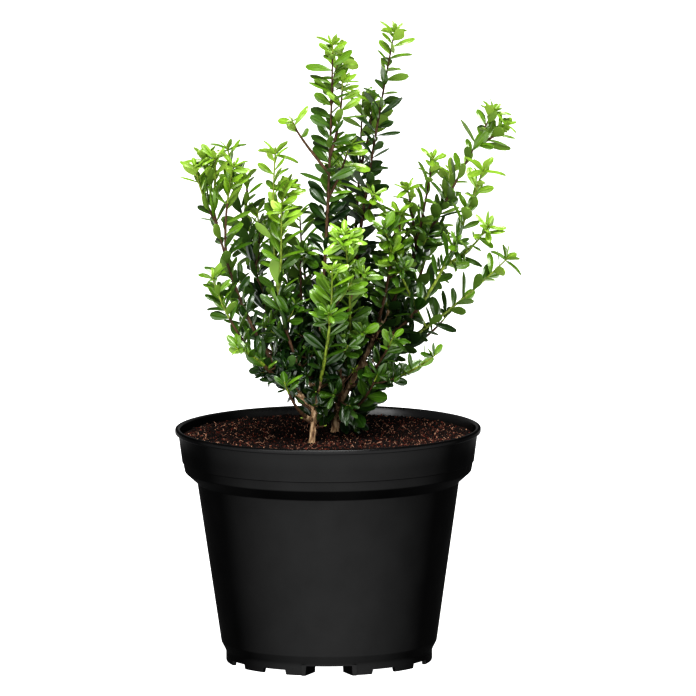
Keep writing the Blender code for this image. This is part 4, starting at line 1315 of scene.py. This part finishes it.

# %% [markdown]
# ## Leaf colours
#
# The crown has six tones of leaf, from lime green at the shoot tips to nearly black green low
# down and inside. The pale young tips are the leaves' own colour, but the darkest tones low
# down and inside are partly painted shade, for the shade that falls in the crown. Each tone
# has plain finishes for its upper side, its midrib and its paler underside. The upper side
# has a thin waxy coat, which gives the white glints.

# %% The six leaf tones, by age and painted shade
# Each tone has the screen colours of its upper side, its midrib and its underside.
AGE_AND_SHADE_TONES = {
    "lime": ((134, 172, 58), (156, 190, 84), (154, 182, 84)),
    "bright": ((119, 153, 44), (140, 171, 64), (136, 164, 68)),
    "fresh": ((90, 124, 29), (108, 140, 47), (114, 142, 60)),
    "mid": ((59, 90, 19), (75, 105, 33), (90, 118, 48)),
    "deep": ((34, 62, 12), (46, 75, 23), (62, 89, 36)),
    "dark": ((16, 40, 9), (24, 49, 15), (38, 62, 24)),
}
LEAF_GLOSS = 0.34
COAT = 0.6
COAT_ROUGHNESS = 0.19


def leaf_finishes(age):
    top, rib, under = [from_screen(*colour) for colour in AGE_AND_SHADE_TONES[age]]
    return {
        "Top": new_finish(f"leaf_{age}_top", top, LEAF_GLOSS, Coat_Weight=COAT,
                          Coat_Roughness=COAT_ROUGHNESS),
        "Rib": new_finish(f"leaf_{age}_rib", rib, 0.45),
        "Under": new_finish(f"leaf_{age}_under", under, 0.55, Specular_IOR_Level=0.35),
    }


# %% [markdown]
# ## Laying the leaves
#
# Each leaf is turned by the golden angle from the one before, and then combed towards the
# two sides of the twig that the light reaches. Towards the tip the leaves get smaller and
# more crowded, until the last ones make a rosette. The rule works out each leaf's root,
# direction and size, and a Geometry Nodes tree puts the leaf's shape there.

# %% Where each leaf goes
LEAF_SPACING = 2.7 * MM
TIP_CROWDING = 0.35
SPACING_CHANGE = (0.85, 1.15)
FIRST_LEAF = (0.4, 1.0)
LEAF_SPREAD = math.radians(46)
TIP_SPREAD = math.radians(52)
TIP_SIZE = 0.72
TIP_ZONE = 24 * MM
SPREAD_CHANGE = 0.24
SIZE_CHANGE = 0.2
WIDTH_CHANGE = 0.26
ARCH_CHANGE = 0.6
ROLL_CHANGE = 0.7
TURN_CHANGE = 0.3
FLIPPED = 0.09
COMBED = 0.6
FACING = (0.3, 0.4, 0.5)
CLOSING = (1.0, 0.75, 0.5)
HEART = Vector((15 * MM, 0, 0))
SHADED = (0.85, 0.5)
BUD_DEPTH = 7.5 * MM
SHORT_BUD = 0.8
SHORT_TWIG = 30 * MM


def leaf_frame(root, direction, upward, roll, reach):
    """Turns and sizes the unit leaf: its length along direction, its upper side to upward."""
    along = direction.normalized()
    right = upward.cross(along).normalized()
    right.rotate(Matrix.Rotation(roll, 3, along))
    turn = Matrix((right, along.cross(right), along)).transposed()
    return root, turn, Vector(reach)


def outward_from(root):
    """The level way from the crown's heart to a place."""
    outward = root - HEART
    outward.z = 0
    return outward


def combed(side, axis, root):
    """Turns a leaf's side of the twig away from the line that runs outward from the heart."""
    outward = outward_from(root)
    outward -= axis * outward.dot(axis)
    outward.normalize()
    return (side - outward * side.dot(outward) * COMBED).normalized()


def to_light(axis, root):
    """Where a leaf's upper side looks: along its twig, up, and out from the crown's heart."""
    along, up, out = FACING
    return axis * along + Vector((0, 0, up)) + outward_from(root).normalized() * out


def is_wanted(axis, side, root, one_sided, near_tip, rule):
    """Leaves are few on the side of a shoot that faces down and out, except near its tip."""
    out, down = SHADED
    shaded = outward_from(root).normalized() * out - Vector((0, 0, down))
    shaded = (shaded - axis * shaded.dot(axis)).normalized()
    return side.dot(shaded) < 0.1 or rule.random() > one_sided * (1 - near_tip)


# A leaf is tried for wood round its middle, and for the pot at its tip and its widest places.
LEAF_MIDDLE, LEAF_SEARCH, LEAF_STALK = 0.55, 0.62, 0.25
LEAF_BROAD, LEAF_CLOSE = 0.8, 0.7
LEAF_ENDS = ((0, 1), (-1, 0.6), (1, 0.6))


def cut_by_wood(leaf):
    """True if a limb or the pot would cut a leaf, or it would hide the open wood."""
    root, turn, reach = leaf
    length, half = reach.z * LEAF_LENGTH, reach.x * LEAF_WIDTH / 2
    middle = root + turn @ Vector((0, 0, LEAF_MIDDLE * length))
    back = turn.transposed()
    for _, index, _ in WOOD_TREE.find_range(middle, LEAF_SEARCH * length):
        point, radius = WOOD[index]
        x, y, z = back @ (point - root)
        beside = abs(x) < LEAF_BROAD * half + radius and abs(y) < LEAF_CLOSE * radius
        if z > LEAF_STALK * length and beside:
            return True
    tips = [root + turn @ Vector((x * half, 0, z * length)) for x, z in LEAF_ENDS]
    if hides_wood(middle) or hides_wood(tips[0]):
        return True
    return not all(above_pot(tip) and in_waist(tip) for tip in tips)


# %% How old each leaf is, with painted shade on old shoots
# A leaf's age grows along its twig, faster on an old one, which also starts older at its tip.
# The old shoots are the low, inner and back ones, so their darker tones are partly painted
# shade. Each tone of leaf ends at one of these, in millimetres.
AGE_AND_SHADE_ENDS = {"lime": 11, "bright": 27, "fresh": 52, "mid": 88, "deep": 135}
OLD_AND_SHADED_START = 70
OLD_AND_SHADED_PACE = 1.6
AGE_CHANGE = (0.72, 1.3)


def leaf_age_and_shade(length, youth_and_light, rule):
    """A leaf's tone from its way to the tip and its shoot's youth: age, and partly painted shade."""
    age = OLD_AND_SHADED_START * (1 - youth_and_light) ** 2 + (OLD_AND_SHADED_PACE - youth_and_light) * length / MM
    age *= rule.uniform(*AGE_CHANGE)
    for name, end in AGE_AND_SHADE_ENDS.items():
        if age < end:
            return name
    return "dark"


# %% Leaves along a twig
def lay_leaves(curve, first, youth_and_light, tip_age_and_shade, one_sided, wide, rule):
    """(age, leaf) for each leaf along one twig."""
    laid = []
    length = curve_length(curve, first, 1.0)
    leafy = length - BUD_DEPTH * (SHORT_BUD if length < SHORT_TWIG else 1)
    turn = rule.uniform(0, math.tau)
    along = rule.uniform(*FIRST_LEAF) * LEAF_SPACING
    while along < leafy:
        t = first + (1 - first) * along / length
        near_tip = max(0, 1 - (leafy - along) / TIP_ZONE)
        axis, root = heading(curve, t), curve_at(curve, t)
        side = sideways(axis, turn)
        lie = combed(side, axis, root)
        spread = LEAF_SPREAD + (TIP_SPREAD - LEAF_SPREAD) * near_tip
        spread *= wide * (1 + rule.uniform(-SPREAD_CHANGE, SPREAD_CHANGE))
        size = 1 + (TIP_SIZE - 1) * near_tip**1.5
        size *= 1 + rule.uniform(-SIZE_CHANGE, SIZE_CHANGE)
        width = size * (1 + rule.uniform(-WIDTH_CHANGE, WIDTH_CHANGE))
        arch = size * (1 + rule.uniform(-ARCH_CHANGE, ARCH_CHANGE))
        roll = rule.uniform(-ROLL_CHANGE, ROLL_CHANGE)
        roll += math.pi if rule.random() < FLIPPED else 0
        age = leaf_age_and_shade(tip_age_and_shade + leafy - along, youth_and_light, rule)
        wanted = is_wanted(axis, side, root, one_sided, near_tip, rule)
        for closing in CLOSING if wanted else ():
            lean = spread * closing
            direction = axis * math.cos(lean) + lie * math.sin(lean)
            leaf = leaf_frame(root, direction, to_light(axis, root), roll, (width, arch, size))
            if not cut_by_wood(leaf):
                laid.append((age, leaf))
                break
        turn += GOLDEN_TURN + rule.uniform(-TURN_CHANGE, TURN_CHANGE)
        along += LEAF_SPACING * (1 - TIP_CROWDING * near_tip) * rule.uniform(*SPACING_CHANGE)
    bud = first + (1 - first) * leafy / length
    return laid + rosette(curve, bud, turn, youth_and_light, tip_age_and_shade, rule)


# %% The rosette at a tip
ROSETTE = 7
ROSETTE_LEANS = (10, 78)
LEAN_CHANGE = (0.85, 1.15)
ROSETTE_DEPTH = 0.12
FIRST_SIZE = 0.98
LATER_SIZES = (0.85, 1.0)
LONGEST = 1.6
ROSETTE_WIDTH = 0.95
ROSETTE_ARCH = (0.9, 1.8)
ROSETTE_ROLL = 0.3


def rosette(curve, bud, turn, youth_and_light, tip_age_and_shade, rule):
    """The last small leaves, which splay round the bud. The first of them reaches the tip."""
    laid = []
    root, tip = curve_at(curve, bud), curve_at(curve, 1.0)
    axis, depth = (tip - root).normalized(), (tip - root).length
    first_lean, last_lean = [math.radians(lean) for lean in ROSETTE_LEANS]
    for i in range(ROSETTE):
        turn += GOLDEN_TURN
        lean = first_lean + (last_lean - first_lean) * i / (ROSETTE - 1)
        lean *= 1 if i == 0 else rule.uniform(*LEAN_CHANGE)
        side = sideways(axis, turn)
        direction = axis * math.cos(lean) + side * math.sin(lean)
        start = root + axis * depth * ROSETTE_DEPTH * rule.random()
        longest = min(LONGEST, 0.95 / math.cos(lean))
        size = depth * (FIRST_SIZE if i == 0 else rule.uniform(*LATER_SIZES) * longest)
        size /= LEAF_LENGTH
        roll = rule.uniform(-ROSETTE_ROLL, ROSETTE_ROLL)
        leaf = leaf_frame(start, direction, axis - side * 0.5, roll,
                          (size * ROSETTE_WIDTH, size * rule.uniform(*ROSETTE_ARCH), size))
        if not cut_by_wood(leaf):
            laid.append((leaf_age_and_shade(tip_age_and_shade + i * MM, youth_and_light, rule), leaf))
    return laid


# %% Lay all leaves
LEAVES = {age: [] for age in AGE_AND_SHADE_TONES}
for one in SHOOTS:
    rule = random.Random(f"{SEED} leaves {one['name']}")
    for curve, _, first, _, youth_and_light, tip_age_and_shade in SPRAYS[one["name"]]:
        one_sided = 0 if tip_age_and_shade == OLD_AND_SHADED else one["one_sided"]
        for age, leaf in lay_leaves(curve, first, youth_and_light, tip_age_and_shade, one_sided, one["wide"], rule):
            LEAVES[age].append(leaf)
print("leaves:", {age: len(leaves) for age, leaves in LEAVES.items()})

# %% A tree that puts a leaf on each point
deal, given = start_tree("deal_leaves", Leaf="Object", Top="Material", Rib="Material",
                         Under="Material")
spots = add_node(deal, "GeometryNodeMeshToPoints", {"Mesh": given["Geometry"]})
leaf = add_node(deal, "GeometryNodeObjectInfo", {"Object": given["Leaf"]}, "Geometry")
turns = add_node(deal, "FunctionNodeEulerToRotation", {
    "Euler": named(deal, "turn", "FLOAT_VECTOR")})
dealt = add_node(deal, "GeometryNodeInstanceOnPoints", {
    "Points": spots, "Instance": leaf, "Rotation": turns,
    "Scale": named(deal, "size", "FLOAT_VECTOR")})
part = named(deal, "part", "INT")
finishes = [
    {"Material": given[label], "Selection": add_node(
        deal, "FunctionNodeCompare", {2: part, 3: number}, data_type="INT", operation="EQUAL")}
    for number, label in enumerate(("Top", "Rib", "Under"))
]
end_tree(deal, dealt, *finishes)

for age, leaves in LEAVES.items():
    points = bpy.data.meshes.new("points_" + age)
    points.from_pydata([root for root, _, _ in leaves], [], [])
    turns = [angle for _, turn, _ in leaves for angle in turn.to_euler("XYZ")]
    sizes = [size for _, _, reach in leaves for size in reach]
    for name, values in (("turn", turns), ("size", sizes)):
        points.attributes.new(name, "FLOAT_VECTOR", "POINT").data.foreach_set("vector", values)
    made = grow(points, deal, Leaf=LEAF, **leaf_finishes(age))
    finish_piece("leaves_" + age, made, masses)

# %% [markdown]
# ## Finish
#
# The bench is cleared, so that only the finished pieces and the studio are left.

# %% Clear the bench
import json

for thing in list(BENCH.all_objects):
    bpy.data.objects.remove(thing, do_unlink=True)
for collection in (channels, cutters, BENCH):
    bpy.data.collections.remove(collection)
